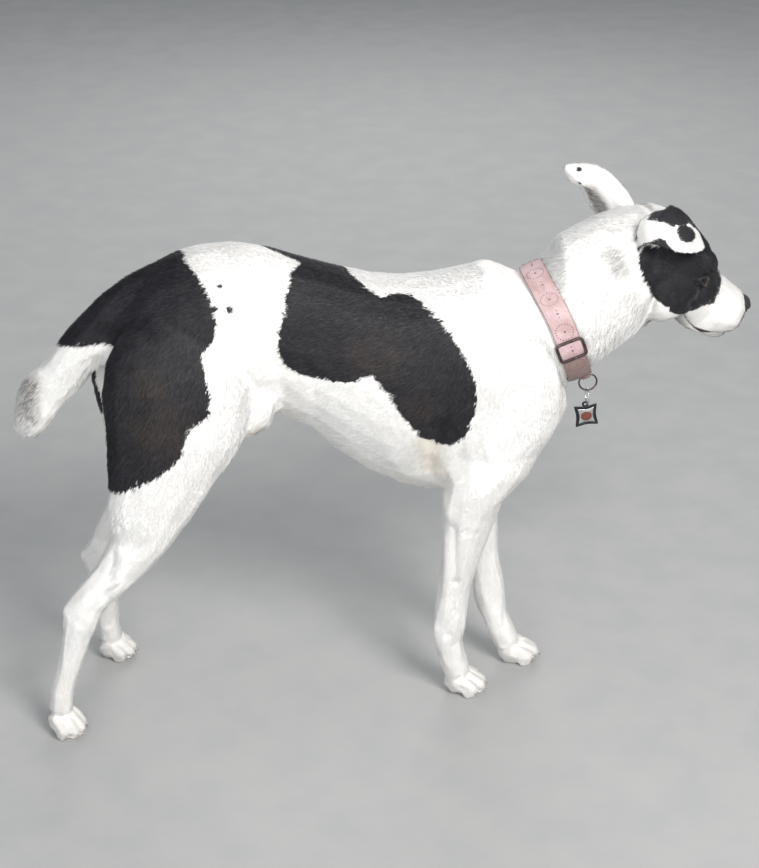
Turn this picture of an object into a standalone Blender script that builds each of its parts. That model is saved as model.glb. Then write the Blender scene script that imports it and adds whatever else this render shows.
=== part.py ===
"""A standing short-coated dog, life size, as a still museum model.

The flesh is lofted from named stations in centimetres, united into smooth
skins, and parted by thin cuts where a person names the parts.  +X is the way
the dog faces, +Y its left side, +Z up, and the paws stand on z = 0.
"""
import math

import bmesh
import bpy
import numpy as np
from mathutils import Matrix, Vector

CM = 0.01                      # the tables below are in centimetres
CUT = 0.04                     # width of the thin cuts between flesh nodes, cm
FIT = 0.035                    # clearance round a piece set into another, cm
FLOOR = 0.0
FORE_MIDLINE = -1.3            # y between the two front feet, which stand to one side
FLANK = -14.5                  # x where the thighs and the rump end and the loin starts

# ---- driving sizes, cm ---------------------------------------------------
WITHERS = 56.0                 # height at the shoulder
TRUNK_STATIONS = (             # x, top, bottom, half width, keel
    (-32.0, 51.0, 44.5, 2.4, 0.00),
    (-30.0, 53.8, 41.0, 4.4, 0.00),
    (-26.5, 56.8, 38.6, 6.2, 0.02),
    (-22.0, WITHERS + 2.9, 38.0, 7.3, 0.04),
    (-17.0, WITHERS + 3.3, 38.2, 7.3, 0.04),
    (-12.5, WITHERS + 2.8, 38.6, 6.7, 0.02),
    (-8.5, WITHERS + 1.6, 36.6, 6.5, 0.02),
    (-4.0, WITHERS + 0.2, 32.4, 7.3, 0.04),
    (1.0, WITHERS - 1.0, 29.2, 8.4, 0.08),
    (5.5, WITHERS - 1.1, 27.6, 8.9, 0.10),
    (9.5, WITHERS - 0.4, 27.2, 8.6, 0.10),
    (14.0, WITHERS, 28.2, 7.9, 0.05),
    (18.0, WITHERS - 1.0, 30.9, 7.0, 0.00),
    (20.8, 51.5, 34.0, 5.6, 0.00),
    (22.5, 46.0, 37.2, 3.2, 0.00),
)
NECK_PATH = (                  # x, y, z, half depth, half width
    (9.0, 0.0, 45.5, 9.6, 6.4),
    (15.0, 0.0, 47.6, 9.1, 6.5),
    (20.8, 0.0, 49.9, 8.2, 6.3),
    (25.8, 0.5, 52.8, 7.7, 6.0),
    (30.2, 1.3, 54.9, 7.2, 5.6),
    (34.5, 2.4, 55.0, 6.0, 4.8),
)
TAIL_PATH = (
    (-22.5, 0.0, 54.8, 3.4, 3.0),
    (-27.5, 0.0, 53.4, 3.2, 2.8),
    (-31.5, 0.0, 50.8, 2.9, 2.5),
    (-35.0, 0.0, 47.2, 2.7, 2.4),
    (-38.0, 0.2, 43.2, 2.7, 2.4),
    (-40.2, 0.4, 40.2, 2.3, 2.1),
    (-41.4, 0.5, 38.4, 1.4, 1.3),
)
# Legs: x, y, z, half depth fore and aft, half width.  y is given for a left
# leg and turned over for a right one.
SHOULDER_PATH = (
    (12.2, 3.8, 52.2, 3.2, 1.6),
    (13.6, 6.0, 47.5, 5.4, 2.9),
    (15.0, 6.4, 41.5, 6.0, 3.2),
    (13.2, 6.5, 36.0, 5.0, 3.1),
    (12.0, 6.4, 32.0, 3.6, 2.6),
)
FORE_RIGHT = dict(
    arm=((15.9, 5.4, 38.5, 4.3, 3.2), (13.4, 6.2, 34.5, 4.6, 3.3),
         (10.9, 6.5, 30.6, 3.9, 3.1), (10.1, 6.2, 26.0, 3.2, 2.5),
         (9.3, 5.7, 20.5, 2.5, 2.0), (8.6, 5.1, 14.6, 2.0, 1.65),
         (8.2, 4.8, 10.4, 2.1, 1.85), (8.2, 4.6, 7.6, 1.75, 1.65),
         (8.7, 4.5, 5.2, 1.7, 1.75), (9.3, 4.4, 3.2, 1.7, 1.9)),
    paw=(10.1, 4.4, -12.0))
FORE_LEFT = dict(
    arm=((15.8, 5.4, 38.5, 4.3, 3.2), (13.6, 6.2, 34.5, 4.6, 3.3),
         (12.0, 6.4, 30.6, 3.8, 3.1), (12.5, 5.6, 25.6, 3.0, 2.5),
         (13.1, 4.7, 20.0, 2.4, 1.95), (13.9, 3.7, 14.0, 1.9, 1.65),
         (14.4, 3.0, 10.2, 2.0, 1.8), (14.9, 2.5, 7.4, 1.7, 1.65),
         (15.8, 2.1, 5.0, 1.65, 1.75), (16.6, 1.9, 3.0, 1.7, 1.9)),
    paw=(17.9, 1.9, 2.0))
HIND_RIGHT = dict(
    thigh=((-22.2, 2.4, 53.2, 5.0, 2.4), (-23.6, 5.4, 47.0, 8.4, 4.2),
           (-24.4, 6.4, 41.0, 8.3, 4.3), (-26.0, 6.9, 35.6, 6.6, 3.9),
           (-27.6, 7.2, 30.6, 5.0, 3.4), (-29.0, 7.5, 26.6, 3.7, 2.8)),
    shank=((-26.8, 7.2, 31.5, 4.9, 3.3), (-28.9, 7.5, 26.4, 3.5, 2.8),
           (-32.2, 7.7, 21.8, 2.6, 2.2), (-35.5, 7.9, 18.2, 2.1, 1.9),
           (-36.7, 8.0, 15.6, 2.0, 1.8), (-37.6, 8.0, 12.2, 1.6, 1.5),
           (-38.7, 7.9, 8.6, 1.45, 1.4), (-39.6, 7.8, 5.6, 1.5, 1.5),
           (-39.9, 7.8, 3.4, 1.5, 1.7)),
    hock=(-37.4, 7.9, 17.4), paw=(-39.5, 8.2, -46.0))
HIND_LEFT = dict(
    thigh=((-22.6, 2.4, 53.2, 5.0, 2.4), (-24.9, 5.4, 47.0, 8.4, 4.2),
           (-26.2, 6.4, 41.0, 8.2, 4.3), (-27.0, 6.9, 35.6, 6.6, 3.9),
           (-28.0, 7.2, 30.6, 5.0, 3.4), (-29.0, 7.4, 26.0, 3.6, 2.8)),
    shank=((-27.4, 7.2, 31.0, 4.8, 3.3), (-29.1, 7.4, 25.6, 3.4, 2.8),
           (-31.6, 7.5, 20.6, 2.6, 2.2), (-34.0, 7.6, 16.6, 2.1, 1.9),
           (-34.6, 7.7, 13.8, 2.0, 1.8), (-34.4, 7.9, 10.6, 1.75, 1.55),
           (-34.3, 8.0, 7.6, 1.5, 1.45), (-34.4, 8.1, 5.2, 1.5, 1.5),
           (-34.2, 8.1, 3.2, 1.5, 1.7)),
    hock=(-35.7, 7.6, 15.8), paw=(-33.7, 8.2, -16.0))
FORE_PAW = dict(length=6.3, width=4.8, height=3.1)
HIND_PAW = dict(length=5.9, width=4.4, height=3.0)
CLAW_LENGTH = 1.3
CLAW_RADIUS = 0.25

# The head in its own frame: x along the muzzle, origin between the eyes.
HEAD_PLACE = (36.5, 2.3, 53.9)
HEAD_PITCH = 27.0              # degrees nose down
HEAD_YAW = 10.0                # degrees towards the dog's left
SKULL_STATIONS = (             # x, top, bottom, half width, keel
    (10.0, -0.9, -3.5, 1.6, 0.00),
    (9.0, -0.1, -5.0, 2.2, -0.10),
    (7.2, 0.4, -6.2, 2.5, -0.14),
    (5.4, 0.85, -6.6, 2.75, -0.12),
    (4.0, 1.5, -6.7, 3.1, -0.08),
    (2.6, 2.7, -6.8, 3.7, -0.02),
    (0.8, 4.1, -7.0, 4.4, 0.02),
    (-1.0, 4.9, -7.2, 4.9, 0.03),
    (-3.5, 5.4, -7.4, 5.2, 0.04),
    (-6.0, 5.5, -7.2, 5.2, 0.05),
    (-8.5, 5.1, -6.8, 4.9, 0.03),
    (-11.0, 3.9, -6.2, 4.2, 0.00),
)
EYE_PLACE = (0.55, 3.6, -0.1)
EYE_RADIUS = 1.05
NOSE_PLACE = (9.75, 0.0, -1.45)
NOSE_RADII = (0.95, 1.4, 1.1)
MOUTH_FRONT = (10.6, 0.0, -3.75)
MOUTH_CORNER = (1.5, 0.0, -4.3)
# Ears: three curves from root to tip, along the inner rim, the ridge of the
# back, and the outer rim.  The right one folds forward, the left is flung back.
EAR_RIGHT = (
    ((-8.0, -2.9, 4.3), (-7.7, -3.7, 6.6), (-5.6, -4.0, 6.4), (-3.3, -4.6, 5.2), (-2.1, -6.0, 3.7)),
    ((-10.2, -3.8, 3.4), (-9.7, -5.3, 4.6), (-7.4, -6.4, 4.9), (-4.6, -6.5, 4.7), (-2.1, -6.0, 3.7)),
    ((-9.0, -4.2, 0.2), (-9.4, -5.9, 1.9), (-7.6, -7.2, 2.3), (-4.6, -7.3, 2.8), (-2.1, -6.0, 3.7)),
)
EAR_LEFT = (
    ((-7.3, 2.6, 3.5), (-9.8, 5.0, 5.3), (-11.9, 7.2, 5.9), (-14.2, 8.6, 5.1), (-15.9, 9.0, 3.9)),
    ((-9.4, 3.3, 3.2), (-11.2, 5.0, 3.9), (-12.9, 6.5, 4.1), (-14.6, 7.9, 4.1), (-15.9, 9.0, 3.9)),
    ((-9.2, 4.1, 0.2), (-11.0, 6.2, 0.8), (-12.9, 7.6, 1.5), (-14.6, 8.6, 2.7), (-15.9, 9.0, 3.9)),
)
EAR_THICK = 0.36

# Collar: a flat strap round the root of the neck, with what hangs from it.
COLLAR_CENTRE = (20.9, 0.0, 49.5)
COLLAR_TILT = 21.0             # degrees the strap's axis rises towards the head
COLLAR_DEEP = 8.25             # inner half height
COLLAR_WIDE = 6.25             # inner half width
STRAP_WIDTH = 2.9
STRAP_THICK = 0.36
SLIDE_ANGLE = -18.0            # degrees round the strap, from level on the right side
SLIDE_OUTER = (3.7, 2.8)        # across the strap, along it
SLIDE_BAR = 0.36
SLIDE_THICK = 0.24
RING_ANGLE = -87.0             # where the ring hangs, round the strap
RING_AHEAD = 0.7               # how far it hangs in front of the strap's middle
RING_RADIUS = 1.1
RING_WIRE = 0.13
LOOP_WALL = 0.14
LOOP_DROP = 0.25               # how far the loop hangs below the strap
LOOP_LENGTH = 1.0
TAG_RING_RADIUS = 1.0
TAG_RING_WIRE = 0.09
TAG_SIZE = 2.7
TAG_THICK = 0.18
TAG_WAIST = 0.10               # how far the tag's sides bend in, as a share of its size
TAG_HOLE = 0.2
TAG_LUG = (0.42, 0.75)         # half width and height of the lug the ring goes through

# ---- materials -----------------------------------------------------------
FINISHES = {                   # colour, roughness, metallic
    "white_coat": ((0.80, 0.78, 0.75), 0.80, 0.0),
    "black_coat": ((0.022, 0.022, 0.026), 0.60, 0.0),
    "nose_leather": ((0.012, 0.012, 0.014), 0.35, 0.0),
    "eye_gloss": ((0.020, 0.010, 0.006), 0.05, 0.0),
    "claw_horn": ((0.30, 0.25, 0.20), 0.40, 0.0),
    "collar_rose": ((0.62, 0.36, 0.36), 0.70, 0.0),
    "dark_metal": ((0.06, 0.06, 0.065), 0.35, 1.0),
    "ring_metal": ((0.62, 0.62, 0.64), 0.25, 1.0),
    "tag_face": ((0.70, 0.70, 0.72), 0.30, 1.0),
}


def finish(name):
    """The Principled material of that name."""
    material = bpy.data.materials.get(name)
    if material is None:
        colour, roughness, metallic = FINISHES[name]
        material = bpy.data.materials.new(name)
        material.use_nodes = True
        shader = material.node_tree.nodes["Principled BSDF"]
        shader.inputs["Base Color"].default_value = (*colour, 1.0)
        shader.inputs["Roughness"].default_value = roughness
        shader.inputs["Metallic"].default_value = metallic
    return material


# ---- curves and shells ---------------------------------------------------
def flow(rows, count):
    """A smooth curve through rows of numbers, at count even steps of length."""
    rows = np.asarray(rows, float)
    chord = np.linalg.norm(np.diff(rows[:, :3], axis=0), axis=1)
    at = np.concatenate([[0.0], np.cumsum(np.maximum(chord, 1e-6))])
    slope = np.gradient(rows, at, axis=0)
    where = np.linspace(0.0, at[-1], count)
    cell = np.clip(np.searchsorted(at, where, side="right") - 1, 0, len(at) - 2)
    span = (at[cell + 1] - at[cell])[:, None]
    t = ((where - at[cell]) / span[:, 0])[:, None]
    start, end = rows[cell], rows[cell + 1]
    return ((1 + 2 * t) * (1 - t) ** 2 * start + t * (1 - t) ** 2 * span * slope[cell]
            + t * t * (3 - 2 * t) * end + t * t * (t - 1) * span * slope[cell + 1])


def domed(sections):
    """Oval sections with a rounded end added beyond the first and the last."""
    lean = 0.7                 # how far an end bulges, as a share of its half width
    out = []
    for end, sign in ((sections[0], -1), (sections[-1], 1)):
        place, ahead, along, across = end
        reach = lean * min(np.linalg.norm(along), np.linalg.norm(across))
        dome = []
        for angle in (30, 58, 80):
            a = math.radians(angle)
            dome.append((place + sign * reach * math.sin(a) * ahead,
                         along * math.cos(a), across * math.cos(a)))
        out.append(dome)
    body = [(place, along, across) for place, _, along, across in sections]
    return out[0][::-1] + body + out[1]


class Shells:
    """Closed shells gathered in one mesh, in centimetres."""

    def __init__(self, place=Matrix.Identity(4)):
        self.mesh = bmesh.new()
        self.place = place

    def point(self, position):
        return self.mesh.verts.new(self.place @ Vector(position))

    def rings(self, rings):
        """A closed shell through rings of points, fanned shut at both ends."""
        rows = [[self.point(p) for p in ring] for ring in rings]
        around = len(rows[0])
        for low, high in zip(rows, rows[1:]):
            for i in range(around):
                j = (i + 1) % around
                self.mesh.faces.new((low[i], low[j], high[j], high[i]))
        for row, turned in ((rows[0], True), (rows[-1], False)):
            self.mesh.faces.new(row[::-1] if turned else row)

    def barrel(self, stations, count=28, around=28):
        """Upright sections along x: x, top, bottom, half width, keel."""
        rows = [(x, (top + low) / 2, (top - low) / 2, wide, keel)
                for x, top, low, wide, keel in stations]
        rings = []
        for x, middle, deep, wide, keel in flow(rows, count):
            ring = []
            for a in np.linspace(0, 2 * math.pi, around, endpoint=False):
                side = wide * math.cos(a) * (1 + keel * math.sin(a))
                ring.append((x, side, middle + deep * math.sin(a)))
            rings.append(ring)
        self.rings(rings)

    def tube(self, path, side=1.0, count=26, around=20):
        """Oval sections square to a path: x, y, z, half depth, half width."""
        rows = flow(path, count)
        rows[:, 1] *= side
        ahead = np.gradient(rows[:, :3], axis=0)
        sections = []
        for row, t in zip(rows, ahead):
            t = t / np.linalg.norm(t)
            across = np.array((0.0, 1.0, 0.0)) - t[1] * t
            across /= np.linalg.norm(across)
            along = np.cross(t, across)
            sections.append((row[:3], t, along * row[3], across * row[4]))
        rings = []
        for place, along, across in domed(sections):
            ring = []
            for a in np.linspace(0, 2 * math.pi, around, endpoint=False):
                ring.append(place + math.sin(a) * along + math.cos(a) * across)
            rings.append(ring)
        self.rings(rings)

    def lump(self, centre, radii, turn=(0.0, 0.0, 0.0)):
        """An egg-shaped mass, turned by degrees about x, y and z."""
        spin = Matrix.Identity(4)
        for axis, angle in zip("XYZ", turn):
            spin = Matrix.Rotation(math.radians(angle), 4, axis) @ spin
        place = self.place @ Matrix.Translation(centre) @ spin @ Matrix.Diagonal((*radii, 1.0))
        bmesh.ops.create_icosphere(self.mesh, subdivisions=3, radius=1.0, matrix=place)


def as_object(name, mesh, scale=CM):
    """A scene object from a bmesh in centimetres."""
    if scale != 1.0:
        bmesh.ops.scale(mesh, vec=(scale, scale, scale), verts=mesh.verts)
    bmesh.ops.recalc_face_normals(mesh, faces=mesh.faces)
    data = bpy.data.meshes.new(name)
    mesh.to_mesh(data)
    mesh.free()
    thing = bpy.data.objects.new(name, data)
    bpy.context.scene.collection.objects.link(thing)
    return thing


def settle(thing):
    """Turn the object's modifiers into mesh."""
    graph = bpy.context.evaluated_depsgraph_get()
    data = bpy.data.meshes.new_from_object(thing.evaluated_get(graph))
    old = thing.data
    thing.modifiers.clear()
    thing.data = data
    bpy.data.meshes.remove(old)
    return thing


def coords_of(thing):
    values = np.empty(len(thing.data.vertices) * 3)
    thing.data.vertices.foreach_get("co", values)
    return values.reshape(-1, 3)


def set_coords(thing, values):
    thing.data.vertices.foreach_set("co", values.ravel())
    thing.data.update()


def relax(thing, rounds, shrink=0.5, swell=-0.52):
    """Smooth the mesh and keep its volume, by shrinking and swelling in turn."""
    edges = np.empty(len(thing.data.edges) * 2, int)
    thing.data.edges.foreach_get("vertices", edges)
    edges = edges.reshape(-1, 2)
    count = len(thing.data.vertices)
    valence = np.bincount(edges.ravel(), minlength=count)[:, None]
    values = coords_of(thing)
    for _ in range(rounds):
        for factor in (shrink, swell):
            total = np.empty_like(values)
            for axis in range(3):
                total[:, axis] = (np.bincount(edges[:, 0], values[edges[:, 1], axis], count)
                                  + np.bincount(edges[:, 1], values[edges[:, 0], axis], count))
            values += factor * (total / valence - values)
    set_coords(thing, values)


def unite(name, shells, voxel, rounds):
    """One smooth skin round overlapping shells."""
    thing = as_object(name, shells.mesh)
    remesh = thing.modifiers.new("unite", "REMESH")
    remesh.mode = "VOXEL"
    remesh.voxel_size = voxel * CM
    settle(thing)
    relax(thing, rounds)
    return thing


def thin(thing, triangles):
    """Fewer triangles, as many as asked."""
    data = thing.data
    data.calc_loop_triangles()
    reduce = thing.modifiers.new("thin", "DECIMATE")
    reduce.ratio = min(1.0, triangles / len(data.loop_triangles))
    return settle(thing)


def press(thing, place, spots):
    """Push the surface near each spot: centre, reach, shift, in the given frame."""
    values = coords_of(thing)
    for centre, reach, shift in spots:
        middle = np.array(place @ Vector(centre)) * CM
        move = np.array(place.to_3x3() @ Vector(shift)) * CM
        gone = np.linalg.norm(values - middle, axis=1) / (reach * CM)
        weight = np.clip(1 - gone ** 2, 0, 1) ** 2
        values += weight[:, None] * move
    set_coords(thing, values)


# ---- cutting -------------------------------------------------------------
def copy_of(thing, name):
    twin = bpy.data.objects.new(name, thing.data.copy())
    bpy.context.scene.collection.objects.link(twin)
    return twin


def drop(thing):
    data = thing.data
    bpy.data.objects.remove(thing)
    bpy.data.meshes.remove(data)


def combine(thing, other, operation):
    """Cut or keep with an exact Boolean."""
    modifier = thing.modifiers.new(operation.lower(), "BOOLEAN")
    modifier.operation = operation
    modifier.solver = "EXACT"
    modifier.object = other
    return settle(thing)


def swollen(thing, by):
    """A copy whose surface lies that far outside, in centimetres."""
    twin = copy_of(thing, "swollen")
    mesh = bmesh.new()
    mesh.from_mesh(twin.data)
    mesh.normal_update()
    moves = [(v, v.normal * by * CM * v.calc_shell_factor()) for v in mesh.verts]
    for vertex, move in moves:
        vertex.co += move
    mesh.to_mesh(twin.data)
    mesh.free()
    return twin


def seat(holder, piece, clearance=FIT):
    """Cut room for a piece out of what holds it."""
    cutter = swollen(piece, clearance)
    combine(holder, cutter, "DIFFERENCE")
    drop(cutter)


def block(corners):
    """A convex cutter round its corner points, in centimetres."""
    mesh = bmesh.new()
    for corner in corners:
        mesh.verts.new(corner)
    hull = bmesh.ops.convex_hull(mesh, input=mesh.verts)
    spare = {v for v in hull["geom_interior"] if isinstance(v, bmesh.types.BMVert)}
    bmesh.ops.delete(mesh, geom=list(spare), context="VERTS")
    return as_object("cutter", mesh)


def prism(profile, start, end):
    """Corners of a block with a y-z profile between two x places."""
    return [(x, y, z) for x in (start, end) for y, z in profile]


def part_off(whole, name, corners, keep=None):
    """Take what lies in the block off the whole, with a thin cut between.

    keep, where given, is a finer mesh of the same form to take the piece from.
    """
    cutter = block(corners)
    piece = copy_of(keep or whole, name)
    combine(piece, cutter, "INTERSECT")
    wide = swollen(cutter, CUT)
    combine(whole, wide, "DIFFERENCE")
    drop(wide)
    drop(cutter)
    return largest(piece)


def largest(thing):
    """Keep the biggest loose body of the mesh, and merge needless points."""
    mesh = bmesh.new()
    mesh.from_mesh(thing.data)
    bmesh.ops.remove_doubles(mesh, verts=mesh.verts, dist=1e-6)
    unseen = set(mesh.verts)
    bodies = []
    while unseen:
        stack = [unseen.pop()]
        body = set(stack)
        while stack:
            for edge in stack.pop().link_edges:
                for vertex in edge.verts:
                    if vertex in unseen:
                        unseen.remove(vertex)
                        body.add(vertex)
                        stack.append(vertex)
        bodies.append(body)
    bodies.sort(key=lambda body: -extent(body))
    for body in bodies[1:]:
        bmesh.ops.delete(mesh, geom=list(body), context="VERTS")
    mesh.to_mesh(thing.data)
    mesh.free()
    return thing


def extent(body):
    points = np.array([v.co[:] for v in body])
    return float(np.prod(points.max(axis=0) - points.min(axis=0) + 1e-6))


# ---- the body ------------------------------------------------------------
def torso_shells():
    shells = Shells()
    shells.barrel(TRUNK_STATIONS)
    shells.tube(NECK_PATH)
    shells.tube(TAIL_PATH)
    for side, fore, hind in ((-1, FORE_RIGHT, HIND_RIGHT), (1, FORE_LEFT, HIND_LEFT)):
        shells.tube(SHOULDER_PATH, side)
        shells.tube(fore["arm"], side)
        shells.tube(hind["thigh"], side)
        shells.tube(hind["shank"], side)
        shells.lump((-16.2, side * 5.0, 42.0), (4.2, 1.3, 4.4), (0, 35, 0))     # flank
        x, y, z = hind["hock"]
        shells.lump((x, side * y, z), (1.25, 1.1, 1.9), (0, 30, 0))             # heel bone
        shells.lump((17.9, side * 3.6, 40.0), (3.4, 2.8, 5.0))                  # breast
    return shells


def paw_frame(side, paw):
    x, y, turn = paw
    return (Matrix.Translation((x, side * y, 0.0))
            @ Matrix.Rotation(math.radians(turn), 4, "Z"))


def toe_spread(size):
    """Each toe's side offset, reach ahead and turn outward."""
    wide = size["width"] / 2
    for rank in (-1.5, -0.5, 0.5, 1.5):
        outer = abs(rank) > 1
        yield rank, rank * wide * 0.46, (0.30 if outer else 0.44) * size["length"], rank * 5.0


def claw_frame(size, offset, reach, turn):
    place = Matrix.Translation((reach + 0.12, offset * 1.08, 0.30 * size["height"]))
    return place @ Matrix.Rotation(math.radians(turn), 4, "Z")


def paw_shells(side, limb, path, size, paw):
    """The foot and the length of leg above it."""
    shells = Shells()
    shells.tube(limb[path][-4:], side)
    place = paw_frame(side, paw)
    shells.place = place
    length, width, height = size["length"], size["width"], size["height"]
    shells.lump((-0.08 * length, 0, 0.46 * height), (0.30 * length, 0.41 * width, 0.46 * height))
    shells.lump((-0.10 * length, 0, 0.12 * height), (0.20 * length, 0.28 * width, 0.30 * height))
    for _, offset, reach, turn in toe_spread(size):
        back = 0.36 * length
        shells.lump((reach - back, offset * 0.86, 0.56 * height),
                    (0.26 * length, 0.145 * width, 0.34 * height), (0, 14, turn))
        shells.lump((reach - 0.17 * length, offset, 0.36 * height),
                    (0.19 * length, 0.142 * width, 0.34 * height), (0, 6, turn))
        shells.lump((reach - 0.16 * length, offset, 0.08 * height),
                    (0.13 * length, 0.12 * width, 0.22 * height))
    return shells


def claw(name, place):
    """A blunt curved claw, pointing ahead and down."""
    steps, around = 3, 6
    rings = []
    for i in range(steps):
        t = i / (steps - 1)
        radius = CLAW_RADIUS * (1 - 0.68 * t ** 1.3)
        x = -0.55 + t * CLAW_LENGTH
        z = 0.12 - 0.62 * t * t
        slope = math.atan2(-1.24 * t, CLAW_LENGTH)
        ring = []
        for a in np.linspace(0, 2 * math.pi, around, endpoint=False):
            up = 1.25 * radius * math.sin(a)
            ring.append((x - up * math.sin(slope), radius * 0.8 * math.cos(a), z + up * math.cos(slope)))
        rings.append(ring)
    shells = Shells(place)
    shells.rings(rings)
    thing = as_object(name, shells.mesh)
    thing.data.materials.append(finish("claw_horn"))
    return thing


# ---- the head ------------------------------------------------------------
def head_frame():
    return (Matrix.Translation(HEAD_PLACE)
            @ Matrix.Rotation(math.radians(HEAD_YAW), 4, "Z")
            @ Matrix.Rotation(math.radians(HEAD_PITCH), 4, "Y"))


def head_shells():
    shells = Shells()
    shells.tube(NECK_PATH[2:])
    shells.place = head_frame()
    shells.barrel(SKULL_STATIONS, count=34)
    for side in (-1, 1):
        shells.lump((-2.8, side * 3.5, -2.9), (4.2, 2.1, 3.9), (0, 20, 0))      # cheek
        shells.lump((0.9, side * 2.6, 2.2), (1.9, 1.4, 1.0), (0, 30, 0))        # brow
        shells.lump((-2.8, side * 4.2, -0.6), (3.4, 1.1, 1.0), (0, 8, side * 8))  # cheek bone
        shells.lump((6.0, side * 1.55, -3.6), (4.0, 1.3, 2.3), (0, -3, 0))      # lip
        shells.lump((-8.4, side * 3.3, 2.4), (2.3, 1.5, 1.8))                   # ear base
    shells.lump((7.2, 0, -5.3), (2.4, 1.7, 1.5))                                # chin
    shells.lump((6.6, 0, -1.05), (3.4, 1.7, 1.3), (0, 4, 0))                     # bridge
    return shells


def ear(name, curves, side):
    """A leaf between three curves, bent over its ridge, as a thick sheet."""
    along, across = 9, 4
    inner, ridge, outer = (flow(curve, along) for curve in curves)
    mesh = bmesh.new()
    place = head_frame()
    grid = []
    for i in range(along):
        row = []
        for j in range(across + 1):
            t = 2 * j / across - 1
            spot = (inner[i] * t * (t - 1) / 2 + ridge[i] * (1 - t * t)
                    + outer[i] * t * (t + 1) / 2)
            row.append(spot)
        grid.append(row)
    grid = np.array(grid)
    grid[-1] = grid[-1] * 0.6 + grid[-2] * 0.4
    du = np.gradient(grid, axis=0)
    dv = np.gradient(grid, axis=1)
    normal = np.cross(du, dv) * side
    normal /= np.linalg.norm(normal, axis=2)[..., None]
    width = np.linspace(-1, 1, across + 1)
    swell = EAR_THICK * (0.45 + 0.55 * np.sqrt(np.clip(1 - width ** 4, 0, 1)))[None, :, None]
    taper = np.linspace(1.35, 0.8, along)[:, None, None]
    sheets = [grid + normal * swell * taper / 2 * sign for sign in (1, -1)]
    points = [[[mesh.verts.new(place @ Vector(p)) for p in row] for row in sheet]
              for sheet in sheets]
    top, under = points
    for i in range(along - 1):
        for j in range(across):
            mesh.faces.new((top[i][j], top[i][j + 1], top[i + 1][j + 1], top[i + 1][j]))
            mesh.faces.new((under[i][j], under[i + 1][j], under[i + 1][j + 1], under[i][j + 1]))
        mesh.faces.new((top[i][0], top[i + 1][0], under[i + 1][0], under[i][0]))
        mesh.faces.new((top[i][-1], under[i][-1], under[i + 1][-1], top[i + 1][-1]))
    for j in range(across):
        mesh.faces.new((top[0][j], under[0][j], under[0][j + 1], top[0][j + 1]))
        mesh.faces.new((top[-1][j], top[-1][j + 1], under[-1][j + 1], under[-1][j]))
    bmesh.ops.triangulate(mesh, faces=mesh.faces)
    return as_object(name, mesh)


def ball(name, centre, radii, place, detail, material):
    shells = Shells(place)
    matrix = place @ Matrix.Translation(centre) @ Matrix.Diagonal((*radii, 1.0))
    bmesh.ops.create_icosphere(shells.mesh, subdivisions=detail, radius=1.0, matrix=matrix)
    thing = as_object(name, shells.mesh)
    thing.data.materials.append(finish(material))
    return thing


# ---- the collar ----------------------------------------------------------
def collar_frame():
    """x along the neck, y left, z towards the top of the neck."""
    return (Matrix.Translation(COLLAR_CENTRE)
            @ Matrix.Rotation(math.radians(-COLLAR_TILT), 4, "Y"))


def strap_point(angle, out=0.0):
    """A place on the strap's inner line, and the way out from it."""
    a = math.radians(angle)
    spot = Vector((0.0, -COLLAR_WIDE * math.cos(a), COLLAR_DEEP * math.sin(a)))
    away = Vector((0.0, -math.cos(a) / COLLAR_WIDE, math.sin(a) / COLLAR_DEEP)).normalized()
    return spot + away * out, away


def strap():
    """The band, a little rounded at its edges."""
    around = 32
    profile = ((-0.5, 0.0), (-0.5, 0.7), (-0.44, 1.0), (0.44, 1.0), (0.5, 0.7), (0.5, 0.0))
    mesh = bmesh.new()
    place = collar_frame()
    rings = []
    for i in range(around):
        ring = []
        for along, out in profile:
            spot, _ = strap_point(360 * i / around, out * STRAP_THICK)
            spot.x = along * STRAP_WIDTH
            ring.append(mesh.verts.new(place @ spot))
        rings.append(ring)
    for i in range(around):
        for j in range(len(profile)):
            k = (j + 1) % len(profile)
            n = (i + 1) % around
            mesh.faces.new((rings[i][j], rings[i][k], rings[n][k], rings[n][j]))
    return as_object("collar_strap", mesh)


def frame_loop(name, place, outer, bar, thick, corner=2):
    """A flat rectangular loop lying in its own x-y plane."""
    mesh = bmesh.new()
    rings = []
    for z in (0.0, thick):
        for inset in (0.0, bar):
            ring = []
            for quarter in range(4):
                sx, sy = ((1, 1), (-1, 1), (-1, -1), (1, -1))[quarter]
                radius = max(0.5 - inset, 0.12)
                cx = sx * (outer[0] / 2 - inset - radius)
                cy = sy * (outer[1] / 2 - inset - radius)
                for step in range(corner + 1):
                    a = math.radians(90 * (quarter + step / corner))
                    spot = Vector((cx + radius * math.cos(a), cy + radius * math.sin(a), z))
                    ring.append(mesh.verts.new(place @ spot))
            rings.append(ring)
    low_out, low_in, high_out, high_in = rings
    count = len(low_out)
    for i in range(count):
        j = (i + 1) % count
        for a, b in ((low_out, low_in), (high_in, high_out), (high_out, low_out), (low_in, high_in)):
            mesh.faces.new((a[i], a[j], b[j], b[i]))
    return as_object(name, mesh)


def wire_ring(name, place, radius, wire, flat_top=1.0):
    """A round or D-shaped ring of wire in its own x-z plane."""
    around, sides = 16, 5
    mesh = bmesh.new()
    rings = []
    for i in range(around):
        a = 2 * math.pi * i / around
        out = Vector((math.cos(a), 0.0, math.sin(a)))
        centre = Vector((radius * out.x, 0.0, radius * min(out.z, flat_top)))
        ring = []
        for j in range(sides):
            b = 2 * math.pi * j / sides
            spot = centre + out * wire * math.cos(b) + Vector((0, wire * math.sin(b), 0))
            ring.append(mesh.verts.new(place @ spot))
        rings.append(ring)
    for i in range(around):
        for j in range(sides):
            k = (j + 1) % sides
            n = (i + 1) % around
            mesh.faces.new((rings[i][j], rings[i][k], rings[n][k], rings[n][j]))
    return as_object(name, mesh)


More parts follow.
